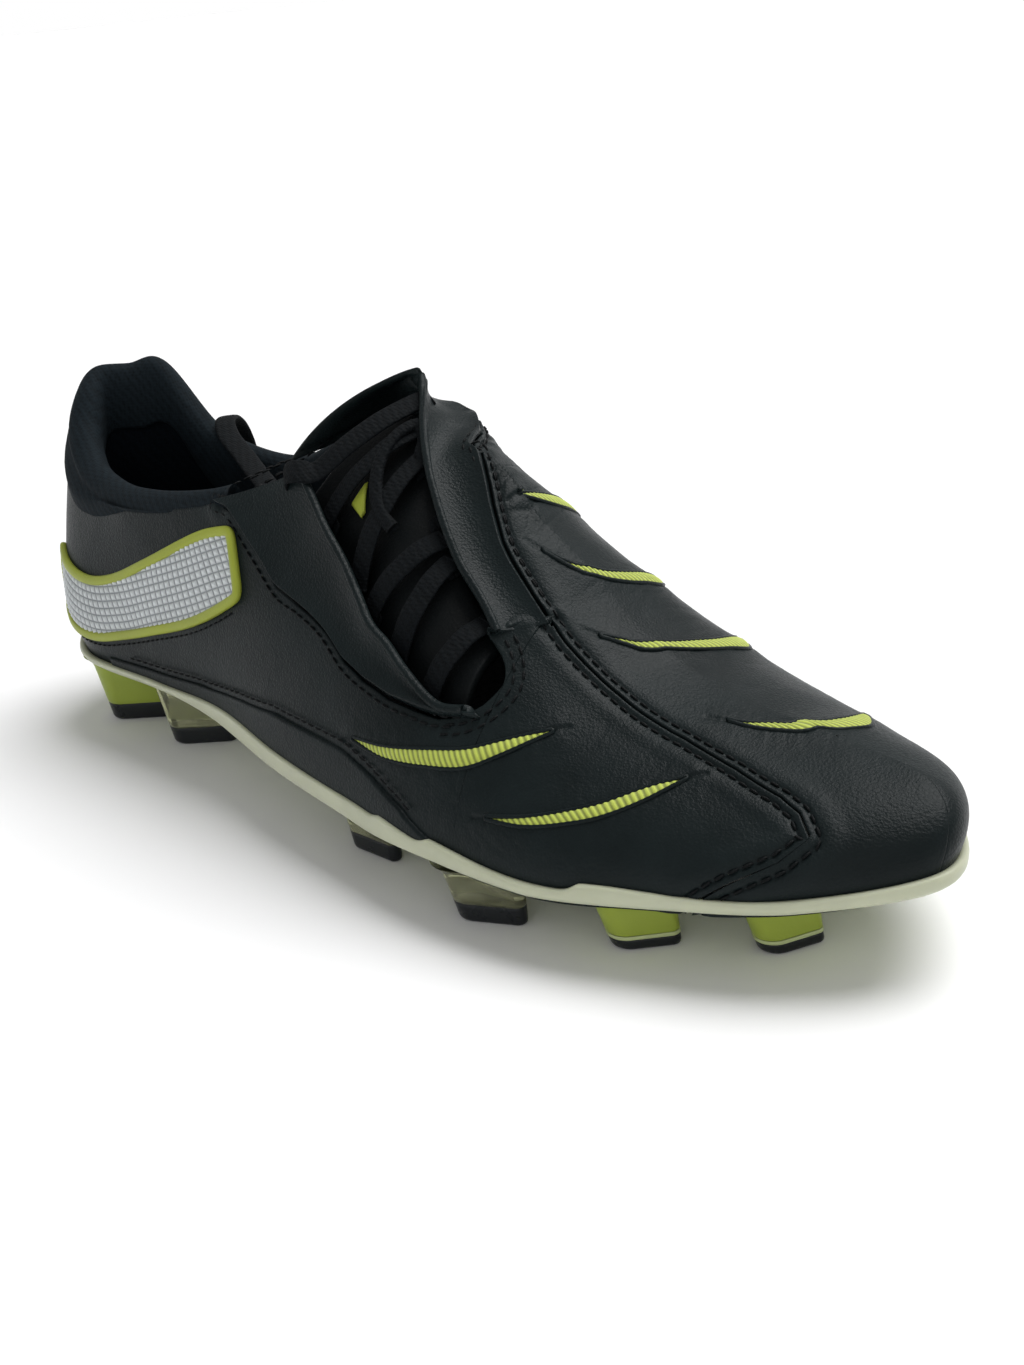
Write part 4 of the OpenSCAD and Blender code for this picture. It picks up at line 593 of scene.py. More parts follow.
# ------------------------------------------------------------------ side crest
def crest(side, U, L, tag):
    s = np.linspace(0.012, 0.988, 330)[:, None]; t = np.linspace(0.03, 0.97, 120)[None]
    a = along(U, s[:, 0])[:, None]; b = along(L, s[:, 0])[:, None]; Q = b + (a - b) * t[..., None]
    K = Q[..., 0]; W = Q[..., 1] if side > 0 else 2 - Q[..., 1]
    P, nn = kw(K, W)
    X = np.concatenate([np.zeros((1, P.shape[1])), np.cumsum(np.linalg.norm(np.diff(P, axis=0), axis=2), 0)], 0)
    Y = np.concatenate([np.zeros((P.shape[0], 1)), np.cumsum(np.linalg.norm(np.diff(P, axis=1), axis=2), 1)], 1); Y = Y - Y[:, -1:] * 0.5
    Xm = X[:, 60:61]; p = 2.5
    fx = (Xm + 0.28 * Y) / p; fy = (Y + 0.05 * Xm) / p * 1.25
    ax = np.abs((fx % 1) - 0.5) * 2; ay = np.abs(((fy + 0.5 * (np.floor(fx) % 2) * 0) % 1) - 0.5) * 2
    py = 1 - np.maximum(ax, ay)
    h = 0.72 + 0.62 * py
    f = shell(tag + "_crest_film", P + nn * h[..., None], P + nn * 0.02, np.stack([fx, fy], -1), mat=M_silver, slot="silver_film", smooth_on=False)
    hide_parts(tag + "_crest")
    # outline with soft corners
    q = np.linspace(0, 1, 160); O = np.concatenate([along(U, q), along_lin([U[-1], L[-1]], np.linspace(0, 1, 30)[1:-1]), along(L, q[::-1]), along_lin([L[0], U[0]], np.linspace(0, 1, 30)[1:-1])])
    W2 = O[:, 1] if side > 0 else 2 - O[:, 1]; X3, N3 = kw(O[:, 0], W2)
    d = np.r_[0, np.cumsum(np.linalg.norm(np.diff(np.r_[X3, X3[:1]], axis=0), axis=1))]; g = np.linspace(0, d[-1], int(d[-1] / 0.8) + 1)[:-1]
    O2 = np.column_stack([np.interp(g, d, np.r_[O[:, c], O[:1, c]]) for c in range(2)])
    w = np.exp(-(np.arange(-6, 7) / 2.6) ** 2); w /= w.sum()
    O2 = sum(np.roll(O2, k_, 0) * w[k_ + 6] for k_ in range(-6, 7))
    W2 = O2[:, 1] if side > 0 else 2 - O2[:, 1]; X3, N3 = kw(O2[:, 0], W2)
    b = sweep(tag + "_crest_rim", X3, N3, 1.35, 1.05, 0.62, 14, True, 0.8, mat=M_border, slot="lime_border")
    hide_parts(tag + "_crest_border")
    # thread close outside the lower edge
    lo = along(L, np.linspace(0.05, 1, 120)); W4 = lo[:, 1] if side > 0 else 2 - lo[:, 1]; X4, N4 = kw(lo[:, 0], W4)
    stitches(tag + "_crest_stitches", offset_line(X4, N4, 2.7 if side < 0 else -2.7) + N4 * 0.05, N4, 2.6, 1.9, 0.5)
crest(1, CU, CL, "outer"); crest(-1, IU, IL, "inner")

# heel clip
uc = np.linspace(-1.9, 1.9, 90); top = 0.12 + 0.36 * np.sqrt(np.maximum(0.02, 1 - (uc / 1.95) ** 2))
Uc, Tc = np.meshgrid(uc, np.r_[np.linspace(0, 0.9, 24), 0.93, 0.96, 0.98, 1.0], indexing="ij"); Vc = 0.0 + top[:, None] * Tc
Pc = surf(Uc, Vc); up_d = np.abs(top[:, None] - Vc) * 70; en = (1.9 - np.abs(Uc)) * 9 + 0.0
hc = 1.15 + round_edge(np.minimum(up_d, en), 1.0) + 0.25 * np.exp(-(Uc / 0.25) ** 2) * smooth(0, 0.1, top[:, None] - Vc)
clip = shell("heel_clip_shell", skin_uv(Uc, Vc, hc), skin_uv(Uc, Vc, np.full_like(Uc, -0.2)), None, mat=M_clip, slot="dark_shell"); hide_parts("heel_clip")

# ------------------------------------------------------------------ sole
ur = np.arange(720) * 24 / 720
cr_ = chan(ur); nr_ = plan_dir(cr_); B = cr_[:, :3].copy(); uz = under_z(B[:, 0]); zt = B[:, 2].copy()
kk = np.minimum(ur, 24 - ur)
bump_ = 0
for c0, hgt in ((7.55, 1.2), (8.15, 1.7), (9.45, 1.8)):
    x = kk - c0; bump_ = bump_ + hgt * np.where(x < 0, np.exp(-(x / 0.09) ** 2), np.exp(-(x / 0.55) ** 2))
zt = zt + bump_ * np.exp(-0.0 * kk)
fore = smooth(6.3, 8.3, kk); wst = smooth(4.2, 5.4, kk) * smooth(8.2, 7.2, kk); raise_ = 0.5 + 0.9 * fore + 0.9 * wst; zt = zt + raise_
prof = [[-3.4, 0.25], [-1.6, 0.55], [-0.2, 1.1], [0.9, 1.75], [1.6, 2.35], [2.0, 3.0]]
rings = []
for o_, z_ in prof:
    ow = o_ + 0.5 * wst * smooth(-0.5, 1.5, o_)
    rings.append(np.column_stack([B[:, 0] + nr_[:, 0] * ow, B[:, 1] + nr_[:, 1] * ow, uz + np.maximum(z_ - 1.6 * wst * smooth(-0.5, 1.0, o_), 0.05)]))
hgt = np.maximum(zt - uz, 4.2)
for o_, f_ in ((2.15, 0.76), (2.1, 0.87), (1.95, 0.95), (1.6, 0.995), (1.0, 1.0), (0.4, 0.985), (0.1, 0.9)):
    rings.append(np.column_stack([B[:, 0] + nr_[:, 0] * o_, B[:, 1] + nr_[:, 1] * o_, uz + np.maximum(hgt * f_, 3.15 if f_ < 0.8 else 0)]))
rings.append(np.column_stack([B[:, 0] - nr_[:, 0] * 1.0, B[:, 1] - nr_[:, 1] * 1.0, uz + 2.0]))
R = np.stack(rings, 1)
rim = tube("sole_rim", R, None, True, mat=M_rim, slot="pale_rim"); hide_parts("outsole_rim")
# underside: one moulded plate with a shallow waist channel, a centre rib and ribs between the studs
GX = np.linspace(-146, 142, 290); bx = (GX - GX[0]) / (GX[-1] - GX[0]); ua_ = np.linspace(0.02, 11.98, 1200); ca_ = chan(ua_); cb_ = chan(24 - ua_)
def side_y(c_): return np.interp(GX, c_[:, 0][np.argsort(c_[:, 0])], c_[:, 1][np.argsort(c_[:, 0])])
yo, yi = side_y(ca_), side_y(cb_); Tp = np.linspace(0, 1, 71)
yo = yo + 3.0; yi = yi - 3.0; XX = np.repeat(GX[:, None], 71, 1); YY = yo[:, None] + (yi - yo)[:, None] * Tp[None]
mid_ = (yo + yi)[:, None] / 2; wid = (yi - yo)[:, None] / 2; rr = (YY - mid_) / wid
edge_ = np.minimum(1, np.minimum((1 - np.abs(rr)) * wid / 3.0, np.minimum(XX - GX[0], GX[-1] - XX) / 3.0)); edge_ = np.clip(edge_, 0, 1)
waist = gauss(XX, -28, 34)
zz = under_z(XX) + 0.3 * (1 - edge_) + waist * (1.2 * np.exp(-((np.abs(rr) - 0.42) / 0.2) ** 2) - 0.5 * np.exp(-(rr / 0.12) ** 2))
for q_, dq in ((25, 24), (60, 24), (95, 22)):
    zz = zz - 0.55 * np.exp(-((XX - q_ - 14 * rr ** 2) / 1.3) ** 2) * smooth(0.9, 0.7, np.abs(rr)) * edge_
for q_ in (-128, -103, -78):
    zz = zz - 0.55 * np.exp(-((XX - q_ + 8 * rr ** 2) / 1.3) ** 2) * smooth(0.85, 0.65, np.abs(rr)) * edge_
plate = shell("sole_plate", np.stack([XX, YY, zz - 0.02], -1), np.stack([XX, YY, under_z(XX) + 2.9], -1), None, mat=M_plate, slot="pale_plate"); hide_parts("outsole_plate")
# sockliner: a soft sheet with a rounded upper edge
def inset_(c_):
    return c_[:, 0:3] - plan_dir(c_) * 6.6
ia_, ib_ = inset_(ca_), inset_(cb_)
sx0, sx1 = max(ia_[:, 0].min(), ib_[:, 0].min()) + 0.15, min(ia_[:, 0].max(), ib_[:, 0].max()) - 0.15
SX = (sx0 + sx1) / 2 - (sx1 - sx0) / 2 * np.cos(np.linspace(0, np.pi, 200))
def side_s(q_): return np.interp(SX, q_[:, 0][np.argsort(q_[:, 0])], q_[:, 1][np.argsort(q_[:, 0])])
so, si = side_s(ia_), side_s(ib_); Ts = 0.5 - 0.5 * np.cos(np.linspace(0, np.pi, 41))
SXX = np.repeat(SX[:, None], 41, 1); SYY = so[:, None] + (si - so)[:, None] * Ts[None]
ds_ = np.minimum(np.minimum(np.abs(SYY - so[:, None]), np.abs(si[:, None] - SYY)), np.minimum(SXX - sx0, sx1 - SXX)); es_ = np.clip(ds_ / 2.2, 0, 1)
zs_ = under_z(SXX) + 5.35
SL = shell("sockliner_pad", np.stack([SXX, SYY, zs_ + 0.8 + 2.1 * np.sqrt(1 - (1 - es_) ** 2)], -1), np.stack([SXX, SYY, zs_], -1), None, mat=M_sock, body="sockliner", slot="sockliner_foam"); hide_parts("sockliner")

STUDS = [[-119, -20, 28, 19, 10, 0.06, 0.28, 5], [-87, -20, 28, 19, 10, 0.06, 0.28, 5], [-119, 18, -28, 19, 10, 0.06, 0.28, 5], [-87, 18, -28, 19, 10, 0.06, 0.28, 5],
         [8, -36, -10, 17, 8, 0.06, 0.5, 2.5], [54, -42, 12, 17, 9, 0.06, 0.5, 2.5], [88, -30, 32, 15, 9, 0.06, 0.6, 2.5], [113, -13, 50, 14, 8.5, 0.06, 0.6, 2.5],
         [30, 33, -4, 17, 9, 0.06, 0.5, 2.5], [72, 32, -16, 16, 9, 0.06, 0.6, 2.5], [106, 20, -36, 14, 8.5, 0.06, 0.7, 2.5]]
SNAME = ["heel_outer_rear", "heel_outer_front", "heel_inner_rear", "heel_inner_front", "fore_outer_a", "fore_outer_b", "fore_outer_c", "fore_outer_d", "fore_inner_a", "fore_inner_b", "fore_inner_c"]
def blade(l, w, inset=0.0, n=48):
    """outline of a stud blade: broad round rear, narrow front"""
    r1 = w / 2 - inset; r0 = max(0.3, w * 0.22 - inset * 0.8); x1 = -l / 2 + w / 2; x0 = l / 2 - w * 0.22
    th = math.acos(max(-1, min(1, (r1 - r0) / (x0 - x1))))
    a0 = np.linspace(-th, th, n // 3); a1 = np.linspace(th, 2 * np.pi - th, n - n // 3)
    # front arc then rear arc; tangent angle measured from +x
    F_ = np.column_stack([x0 + r0 * np.cos(a0), r0 * np.sin(a0)]); G_ = np.column_stack([x1 + r1 * np.cos(a1), r1 * np.sin(a1)])
    return np.concatenate([F_, G_])
for i, st in enumerate(STUDS):
    x, y, hd, l, w, s5, s6, tz = st; H = float(under_z(x)) + 4; hr = math.radians(hd); c_, s_ = math.cos(hr), math.sin(hr)
    def ring(z, inset=0.0, grow=0.0):
        f = z / H; sc = 1 + 0.3 * f; b = blade(l * sc, w * sc, inset - grow); sx = -(s6 - s5) * H * 0.35 * f
        X = x + (b[:, 0] + sx) * c_ - b[:, 1] * s_; Y = y + (b[:, 0] + sx) * s_ + b[:, 1] * c_
        return np.column_stack([X, Y, np.full(len(b), z)])
    def top_ring(drop, grow):
        r = ring(float(under_z(x)) - drop, 0, grow); sc = under_z(r[:, 0]); r[:, 2] = sc - drop; return r
    nm = SNAME[i]; tz = 4.4 if nm in ("fore_outer_a", "fore_outer_b", "fore_inner_a") else tz; line = nm in ("fore_outer_c", "fore_outer_d", "fore_inner_c", "fore_inner_b")
    tip = [ring(0, 1.1), ring(0.12, 0.55), ring(0.45, 0.15), ring(0.9, 0)] + [ring(z) for z in np.linspace(1.4, tz - 0.35, 4)] + [ring(tz - 0.12, 0.05), ring(tz, 0.3)]
    o = tube("tip_%s_shell" % nm, np.stack(tip), None, False, mat=M_tip, slot="stud_tip"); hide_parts("tip_" + nm)
    z0 = tz + 0.02; uzx = float(under_z(x)); body_ = [ring(z0, 0.25), ring(z0 + 0.15, 0.05)]
    if line: body_ = [ring(z0 + 0.9, 0.25), ring(z0 + 1.05, 0.05)]
    body_ += [ring(z) for z in np.linspace(z0 + 1.3, uzx - 3.4, 6)] + [top_ring(2.4, 0.1), top_ring(1.5, 0.3), top_ring(0.8, 0.75), top_ring(0.3, 1.3), top_ring(-0.3, 1.9)]
    smoke = nm in ("heel_outer_front", "heel_inner_front", "fore_outer_a", "fore_outer_b", "fore_inner_a")
    o = tube("stud_%s_blade" % nm, np.stack(body_), None, False, mat=M_smoke if smoke else M_limestud, slot="smoke_stud" if smoke else "lime_stud"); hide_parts("stud_" + nm)
    if line:
        o = tube("stud_%s_line" % nm, np.stack([ring(z0, 0.1), ring(z0 + 0.12, -0.12), ring(z0 + 0.75, -0.12), ring(z0 + 0.88, 0.1)]), None, False, mat=M_paleline, slot="pale_plate")

# ------------------------------------------------------------------ lining and collar
def pad_in(u, v):
    uw = u % 24; k = np.minimum(uw, 24 - uw); return 2.7 + 4 * (1 - smooth(4.4, 5.4, k)) * smooth(0.3, 0.7, v)
LTOP = [[0, 0.86], [4.8, 0.84], [5.4, 0.6], [5.9, 0.36], [8, 0.32], [8.6, 0.62], [9, 0.86], [12, 0.86], [15.6, 0.86], [17, 0.8], [17.8, 0.76], [18.6, 0.8], [19.2, 0.84], [24, 0.86]]
Ul, Tl = np.meshgrid(np.linspace(-12, 12, 385)[:-1], np.linspace(0, 1, 40), indexing="ij"); Vl = -0.09 + Tl * (tab(Ul % 24, LTOP) + 0.09)
pi_ = pad_in(Ul, Vl); hl = pi_ * -1 + 0.12 * noise3(surf(Ul, Vl), 11, 12)
lin = shell("bootie_textile", skin_uv(Ul, Vl, hl), skin_uv(Ul, Vl, -pi_ - 1.0), np.stack([Ul * 12, Vl * 60], -1) * MM, wrap=True, mat=M_lining, slot="lining_knit")
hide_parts("heel_lining", "outer_lining", "toe_lining", "inner_lining")

uc = np.linspace(-4.95, 5.25, 190); cc = chan(uc); nc = plan_dir(cc); Tc_ = cc[:, 3:6]; ka = np.abs(uc)
v0 = tab(ka, LEATHER_TOP) - 0.035; fade = 0.55 + 0.45 * smooth(5.4, 3.9, ka); zc = np.array([0, 0, 1.0])
def rel(a, z): return Tc_ + nc * (a * fade)[:, None] + zc * (z * (0.6 + 0.4 * fade))[:, None] if np.ndim(a) else Tc_ + nc * (a * fade[:, None]) + zc * (z * (0.6 + 0.4 * fade)[:, None])
v1 = np.minimum(v0 + 0.05, 0.985); v2 = np.minimum(v0 + 0.10, 0.99)
ctrl = [skin_uv(uc, v0, np.full_like(uc, -0.7)), skin_uv(uc, v1, 0.55 * smooth(4.4, 3.6, ka) - 0.1), skin_uv(uc, v2, 0.95 * smooth(4.4, 3.6, ka) + 0.05),
        rel(0.2, -1.2), rel(-0.3, 0.8), rel(-2.2, 3.0), rel(-5.0, 3.9), rel(-7.8, 2.4), rel(-9.3, -1.4), rel(-9.4, -5.5), rel(-8.9, -10.5), rel(-7.9, -15.0)]
C_ = np.stack(ctrl, 1); sm = np.linspace(0, 1, 44)
prof_ = np.stack([along(C_[i], sm) for i in range(len(uc))], 0)
inner = np.stack([rel(-6.2, -14.5), rel(-5.0, -9.0), rel(-4.0, -4.5)], 1)
ringc = np.concatenate([prof_, inner], 1)
wv = noise3(prof_, 13, 21)[..., None] * 0.22
ringc[:, :44] += wv * nc[:, None] * np.sin(np.pi * sm)[None, :, None]
collar = tube("collar_padding", ringc, None, False, mat=M_collar, slot="collar_knit"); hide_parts("collar_roll")

# ------------------------------------------------------------------ throat: eyestay, flap, tongue, laces
def reach(s): return np.where(s < 0.88, s * 1.1, 0.968 + (s - 0.88) * 0.266)
def gnorm(G):
    a = np.empty_like(G); a[1:-1] = G[2:] - G[:-2]; a[0] = G[1] - G[0]; a[-1] = G[-1] - G[-2]
    b = np.empty_like(G); b[:, 1:-1] = G[:, 2:] - G[:, :-2]; b[:, 0] = G[:, 1] - G[:, 0]; b[:, -1] = G[:, -1] - G[:, -2]
    return unit(np.cross(a, b))
def edge_dist(G):
    a = np.concatenate([np.zeros((G.shape[0], 1)), np.cumsum(np.linalg.norm(np.diff(G, axis=1), axis=2), 1)], 1)
    b = np.concatenate([np.zeros((1, G.shape[1])), np.cumsum(np.linalg.norm(np.diff(G, axis=0), axis=2), 0)], 0)
    return a, a[:, -1:] - a, b, b[-1:] - b
def free_panel(name, E, Sm, bulge, sgn, n=170, m=46, thick=1.6, mat=None, slot="black_leather"):
    s = np.linspace(0, 1, n); a = along(E, reach(s)); q = along_lin(Sm, s); b, _ = kw(q[:, 0], q[:, 1])
    w = np.exp(-(np.arange(-7, 8) / 3.2) ** 2); w /= w.sum()
    bp = np.concatenate([np.repeat(b[:1], 7, 0), b, np.repeat(b[-1:], 7, 0)]); b = sum(bp[i:i + n] * w[i] for i in range(15))
    nn = unit(np.cross(along(E, s + 0.02) - along(E, s - 0.02), b - a)); nn = np.concatenate([nn[:1]] * 7 + [nn] + [nn[-1:]] * 7); nn = unit(sum(nn[i:i + n] * w[i] for i in range(15)))
    t = np.r_[0, 0.006, 0.016, 0.03, np.linspace(0.05, 0.97, m), 0.985, 1.0][None]
    G = a[:, None] + (b - a)[:, None] * t[..., None] + nn[:, None] * (bulge(s)[:, None] * 4 * t * (1 - t))[..., None]
    N_ = gnorm(G) * sgn; d0, d1, e0_, e1_ = edge_dist(G)
    h = 0.35 + round_edge(np.minimum(np.minimum(d0, e0_ + 0.4), e1_), 0.9) + 0.22 * noise3(G, 20, 31) + 0.08 * noise3(G, 6, 32)
    h = h - 0.3 * gauss(d0, 4.0, 0.5) + 0.25 * gauss(d0, 2.0, 1.2) * (d0 > 0.5)
    h = h + 0.35 * np.clip(1 - (d1 / 1.7) ** 2, 0, 1) - 0.3 * gauss(d1, 2.0, 0.45) + 0.25 * gauss(d1, 4.4, 2.0) - 0.35
    o = shell(name, G + N_ * h[..., None], G - N_ * thick, np.stack([e0_, d0], -1) * MM, mat=mat, slot=slot)
    return o, G, N_, h
EYE, GE, NE, HE = free_panel("eyestay_leather", LE, LS, lambda s: -1.2 + 0 * s, -1, mat=M_flap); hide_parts("outer_eyestay")
FLP, GF, NF, HF = free_panel("flap_leather", FE, FS, lambda s: 1.4 + 2.4 * smooth(0.55, 1, s), 1, mat=M_flap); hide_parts("inner_eyestay_flap")
tp = np.linspace(0.0, 1.0, 60); gi = np.linspace(0, GF.shape[1] - 1, 60); row = lambda i: np.column_stack([np.interp(gi, np.arange(GF.shape[1]), (GF[i] + NF[i] * HF[i][:, None])[:, c]) for c in range(3)])
top_r = row(3); kx = tab(tp, [[0, 8.095], [0.5, 8.2], [1, 8.41]]); wx = tab(tp, [[0, 0.675], [0.35, 0.735], [0.7, 0.79], [1, 0.808]]); low_r, low_n = kw(kx, wx); low_r = low_r + low_n * 0.5
qv = np.linspace(0, 1, 26)[None, :, None]; out_d = unit(np.cross(np.gradient(low_r, axis=0), top_r - low_r + 1e-6)); out_d = out_d * np.sign((out_d * np.array([0.9, -0.3, 0.1])).sum(1))[:, None]
PG = top_r[:, None] + (low_r - top_r)[:, None] * qv + out_d[:, None] * (1.5 * np.sin(np.pi * qv) ** 1.3 - 0.15)
PG = PG + out_d[:, None] * (0.12 * noise3(PG, 5, 61))[..., None]
pleat = shell("throat_pleat_leather", PG, PG - out_d[:, None] * 1.3, None, mat=M_leather, slot="black_leather")
def col_at(G, N_, d):
    """line at distance d from the free edge"""
    a = edge_dist(G)[0]; out = []; no = []
    for i in range(G.shape[0]):
        out.append([np.interp(d, a[i], G[i, :, c]) for c in range(3)]); no.append([np.interp(d, a[i], N_[i, :, c]) for c in range(3)])
    return np.array(out), unit(np.array(no))
for nm, G, N_, dd in (("eyestay_edge", GE, NE, 4.0), ("flap_edge", GF, NF, 4.0)):
    X, Nn = col_at(G, N_, dd); stitches(nm + "_stitches", X[6:-4] + Nn[6:-4] * 0.12, Nn[6:-4])
    X, Nn = col_at(G, N_, 0.5); Xs = resample(X, 0.9); Ns = unit(np.column_stack([np.interp(np.linspace(0, 1, len(Xs)), np.linspace(0, 1, len(Nn)), Nn[:, c]) for c in range(3)]))
    sweep(nm + "_fold", Xs, Ns, 0.95, 1.15, -0.75, 12, False, mat=M_flap, slot="black_leather")

def throat(s, t, off):
    s, t, off = np.broadcast_arrays(np.asarray(s, float), np.asarray(t, float), np.asarray(off, float))
    a = along(LE, s); b = along(FE, s)
    d = along(FE, np.minimum(1, s + 0.03)) + along(LE, np.minimum(1, s + 0.03)) - along(FE, np.maximum(0, s - 0.03)) - along(LE, np.maximum(0, s - 0.03))
    n = unit(np.cross(b - a, d)); return a + (b - a) * t[..., None] + n * (off + 3.5 * 4 * t * (1 - t))[..., None]
sT, qT = np.meshgrid(np.r_[0.05, 0.053, 0.058, np.linspace(0.065, 0.965, 110), 0.972, 0.977, 0.98], np.r_[0, 0.008, 0.024, np.linspace(0.04, 0.965, 60), 0.985, 0.994, 1.0], indexing="ij")
TE_ = tab(sT, [[0, 0.93], [0.5, 0.97], [0.75, 0.93], [1, 0.82]]); tT = -0.25 + (TE_ + 0.25) * qT
eT = np.minimum(np.minimum((sT - 0.05) * 105, (0.98 - sT) * 105), np.minimum((tT + 0.25) * 18, (TE_ - tT) * 18))
tt = throat(sT, tT, -5.7); nzs = 0.35 * noise3(tt, 16, 41) + 0.16 * noise3(tt, 6, 42)
topT = throat(sT, tT, -5.7 + round_edge(eT, 1.2) + nzs - 0.3); botT = throat(sT, tT, -8.3 + nzs * 0.3)
TNG = shell("tongue_leather", topT, botT, np.stack([sT * 105, tT * 20], -1) * MM, mat=M_tongue_painted_shade, body="tongue", slot="grey_leather"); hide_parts("tongue")
sm_, tm_ = np.meshgrid(np.linspace(0, 1, 40), np.linspace(0, 1, 14), indexing="ij")
mS = 0.74 + 0.07 * sm_; mT = 0.24 + 0.2 * (0.25 + sm_ * 0.75) * tm_ - 0.04 * sm_
em = np.minimum(np.minimum(sm_, 1 - sm_) * 10, np.minimum(tm_, 1 - tm_) * 5)
mk = shell("tongue_mark_rubber", throat(mS, mT, -4.9 + round_edge(em, 0.5)), throat(mS, mT, -5.7), None, mat=M_border, body="tongue", slot="lime_border"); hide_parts("tongue_mark")

def band(name, X, Nn, w=6.3, th=1.25, mat=None, body="shoe", slot="lace_cord"):
    """flat woven lace along points"""
    t = unit(np.gradient(X, axis=0)); sd = unit(np.cross(Nn, t)); up = unit(np.cross(t, sd))
    a = np.arange(20) * 2 * np.pi / 20; c = np.sign(np.cos(a)) * np.abs(np.cos(a)) ** 0.7; s_ = np.sign(np.sin(a)) * np.abs(np.sin(a)) ** 0.7
    w = np.broadcast_to(w, len(X)); th = np.broadcast_to(th, len(X))
    R = X[:, None] + sd[:, None] * (c[None] * w[:, None] / 2)[..., None] + up[:, None] * (s_[None] * th[:, None] / 2)[..., None]
    L = np.r_[0, np.cumsum(np.linalg.norm(np.diff(X, axis=0), axis=1))]
    uv = np.stack(np.broadcast_arrays(c[None] * w[:, None] / 2, L[:, None]), -1) * MM
    return tube(name, R, uv, False, mat=mat or M_lace, body=body, slot=slot)
def on_throat(S, Tt, O, step=1.0):
    """smooth path over the throat, with the outward direction"""
    q = np.linspace(0, 1, 160); C3 = np.column_stack([S, Tt, O]).astype(float); A = along(C3, q)
    X = throat(A[:, 0], A[:, 1], A[:, 2]); X1 = throat(A[:, 0], A[:, 1], A[:, 2] + 1.0); Nn = unit(X1 - X)
    d = np.r_[0, np.cumsum(np.linalg.norm(np.diff(X, axis=0), axis=1))]; g = np.linspace(0, d[-1], int(d[-1] / step) + 2)
    f = lambda Z: np.column_stack([np.interp(g, d, Z[:, c]) for c in range(3)])
    return f(X), unit(f(Nn))
RUNG = [[0.16, 0.16], [0.3, 0.38], [0.52, 0.46], [0.62, 0.7], [0.86, 0.8]]
first = None
for i, (s0, s1) in enumerate(RUNG):
    tq = np.array([-0.08, 0.1, 0.3, 0.5, 0.7, 0.84, 0.95]); sq = s0 + (s1 - s0) * (tq + 0.06) / 0.98
    X, Nn = on_throat(sq, tq, -3.1 + 0.35 * np.array([-1, 0, 1, 0.4, 1, 0, -1]) + 0.25 * (i % 2))
    o = band("lace_row_%d" % i, X, Nn, 5.6, 1.15)
    if first is None: first = o
# top row: out from under the flap, over the eyestay and round into the mouth
P_ = [throat(0.9, 1.02, -3.2), throat(0.905, 0.9, -2.6), throat(0.915, 0.65, -1.6), throat(0.935, 0.35, -1.0), throat(0.955, 0.08, -0.2)]
top_path = np.array([np.asarray(p).ravel() for p in P_] + [[-25.5, -19.5, 85.5], [-30, -20, 84.5], [-32, -18.6, 81], [-30, -17, 79]])
X = resample(along(top_path, np.linspace(0, 1, 300)), 0.8); tg = unit(np.gradient(X, axis=0))
nt_ = np.asarray(throat(0.93, 0.5, 1.0) - throat(0.93, 0.5, 0.0)).ravel()
turn = np.linspace(0, 1, len(X)); Nn = np.repeat(nt_[None], len(X), 0); bl = smooth(0.72, 0.95, turn)[:, None]
Nn = unit(Nn * (1 - bl) + np.array([-0.55, -0.8, 0.15])[None] * bl)
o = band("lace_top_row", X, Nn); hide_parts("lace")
# path of a second leg down behind the eyestay; it is computed, but no lace is made from it
X, Nn = on_throat([0.80, 0.83, 0.88, 0.94, 0.975], [1.08, 0.8, 0.5, 0.2, -0.12], [-3.6, -3.2, -3.0, -3.2, -4.2]); 
# bow loop that hangs over the tongue
X, Nn = on_throat([0.60, 0.66, 0.73, 0.79, 0.815, 0.80, 0.745, 0.70, 0.66], [0.52, 0.46, 0.50, 0.62, 0.78, 0.95, 1.0, 0.95, 1.06], [-3.3, -2.7, -2.4, -2.2, -2.0, -2.0, -2.2, -2.6, -3.2])
band("lace_bow", X, Nn, 3.4, 1.9)
# webbing loops that hold the lace
for side, (t0, t1, q_) in (("outer", (-0.16, 0.04, 0)), ("inner", (0.84, 0.95, 1))):
    parts = []
    for s0 in (0.16, 0.34, 0.5, 0.66, 0.83):
        A_, B_ = np.meshgrid(np.linspace(t0, t1, 14), np.linspace(-1, 1, 9), indexing="ij"); dome = 0.5 * np.sqrt(np.clip(1 - B_ ** 4, 0, 1))
        parts.append((throat(s0 + B_ * 0.025 + q_ * 0.03, A_, -4.9 + dome), throat(s0 + B_ * 0.025 + q_ * 0.03, A_, -5.2 + 0 * A_), np.stack([B_ * 2.6, A_ * 20], -1) * MM))
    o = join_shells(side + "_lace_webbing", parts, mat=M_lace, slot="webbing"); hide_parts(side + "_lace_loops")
# free tail of the lace
def tail_frame(s):
    p = along(TAIL, s); d = unit(along(TAIL, np.minimum(1, s + 0.02)) - along(TAIL, np.maximum(0, s - 0.02)))
    x = unit(np.cross(d, np.cross(np.array([0.75, 0.65, 0.05]), d))); return p, d, x, np.cross(d, x)
q = np.linspace(0, 0.9, 150); p, d, x, y = tail_frame(q)
tail = band("lace_end", p, y, 6.0, 1.5)
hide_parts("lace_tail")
q2 = np.linspace(0.895, 1, 24); p2, d2, x2, y2 = tail_frame(q2); R2 = []
for i in range(24):
    f = 1 - 0.25 * smooth(0.9, 1, q2[i]) if i else 0.8; f = f * (0.75 if i == 23 else 1); a = np.arange(16) * 2 * np.pi / 16
    R2.append(p2[i] + x2[i] * (1.75 * f * np.cos(a))[:, None] + y2[i] * (1.2 * f * np.sin(a))[:, None])
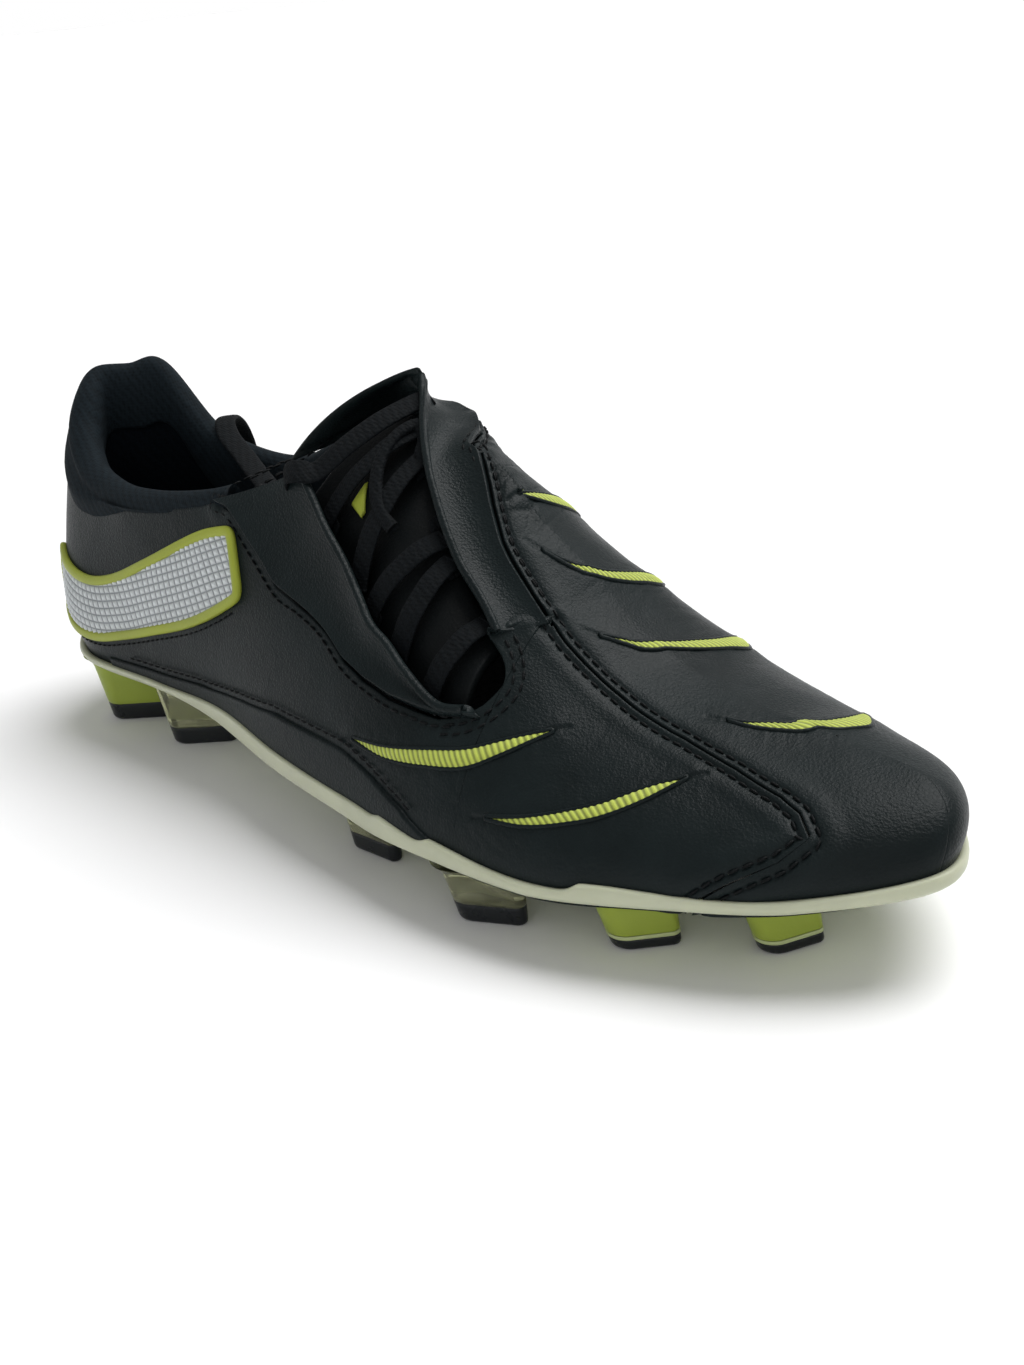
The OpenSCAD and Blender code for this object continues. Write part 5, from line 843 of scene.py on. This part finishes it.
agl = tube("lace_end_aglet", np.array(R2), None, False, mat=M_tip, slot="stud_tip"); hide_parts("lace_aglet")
Lt = float(np.linalg.norm(np.diff(along(TAIL, np.linspace(0, 1, 400)), axis=0), axis=1).sum())

# ------------------------------------------------------------------ stage
def stage():
    me = bpy.data.meshes.new("floor"); s = 40.0
    me.from_pydata([(-s, -s, 0), (s, -s, 0), (s, s, 0), (-s, s, 0)], [], [(0, 1, 2, 3)])
    ob = bpy.data.objects.new("floor", me); scene.collection.objects.link(ob)
    m, nt, b = new_mat("floor")
    b.inputs["Base Color"].default_value = (0.9, 0.9, 0.905, 1); b.inputs["Roughness"].default_value = 0.6
    b.inputs["Specular IOR Level"].default_value = 0.2
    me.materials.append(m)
    w = bpy.data.worlds.new("world"); scene.world = w; w.use_nodes = True
    # pale near the horizon, darker overhead, so that dark leather isn't veiled
    nt = w.node_tree; bg = nt.nodes["Background"]; tc = nt.nodes.new("ShaderNodeTexCoord"); sp = nt.nodes.new("ShaderNodeSeparateXYZ")
    nt.links.new(tc.outputs["Generated"], sp.inputs[0]); cr = nt.nodes.new("ShaderNodeValToRGB"); nt.links.new(sp.outputs[2], cr.inputs[0])
    e = cr.color_ramp.elements; e[0].position = 0.08; e[0].color = (1, 1, 1, 1); e[1].position = 0.3; e[1].color = (0.34, 0.34, 0.34, 1)
    nt.links.new(cr.outputs[0], bg.inputs[0]); bg.inputs[1].default_value = 1.0
    def area(name, loc, target, size, power, col=(1, 1, 1)):
        l = bpy.data.lights.new(name, "AREA"); l.shape = "RECTANGLE"; l.size, l.size_y = size; l.energy = power; l.color = col
        o = bpy.data.objects.new(name, l); scene.collection.objects.link(o)
        o.location = loc; d = Vector(target) - Vector(loc); o.rotation_euler = d.to_track_quat("-Z", "Y").to_euler()
    def sun(name, frm, energy, angle):
        l = bpy.data.lights.new(name, "SUN"); l.energy = energy; l.angle = math.radians(angle)
        o = bpy.data.objects.new(name, l); scene.collection.objects.link(o); o.rotation_euler = (-Vector(frm)).to_track_quat("-Z", "Y").to_euler()
    sun("sky", (0.1, 0.62, 1.2), 3.1, 46)
    area("front", (0.75, -0.95, 0.8), (0, 0, 0.03), (0.9, 0.9), 2.0)
stage()
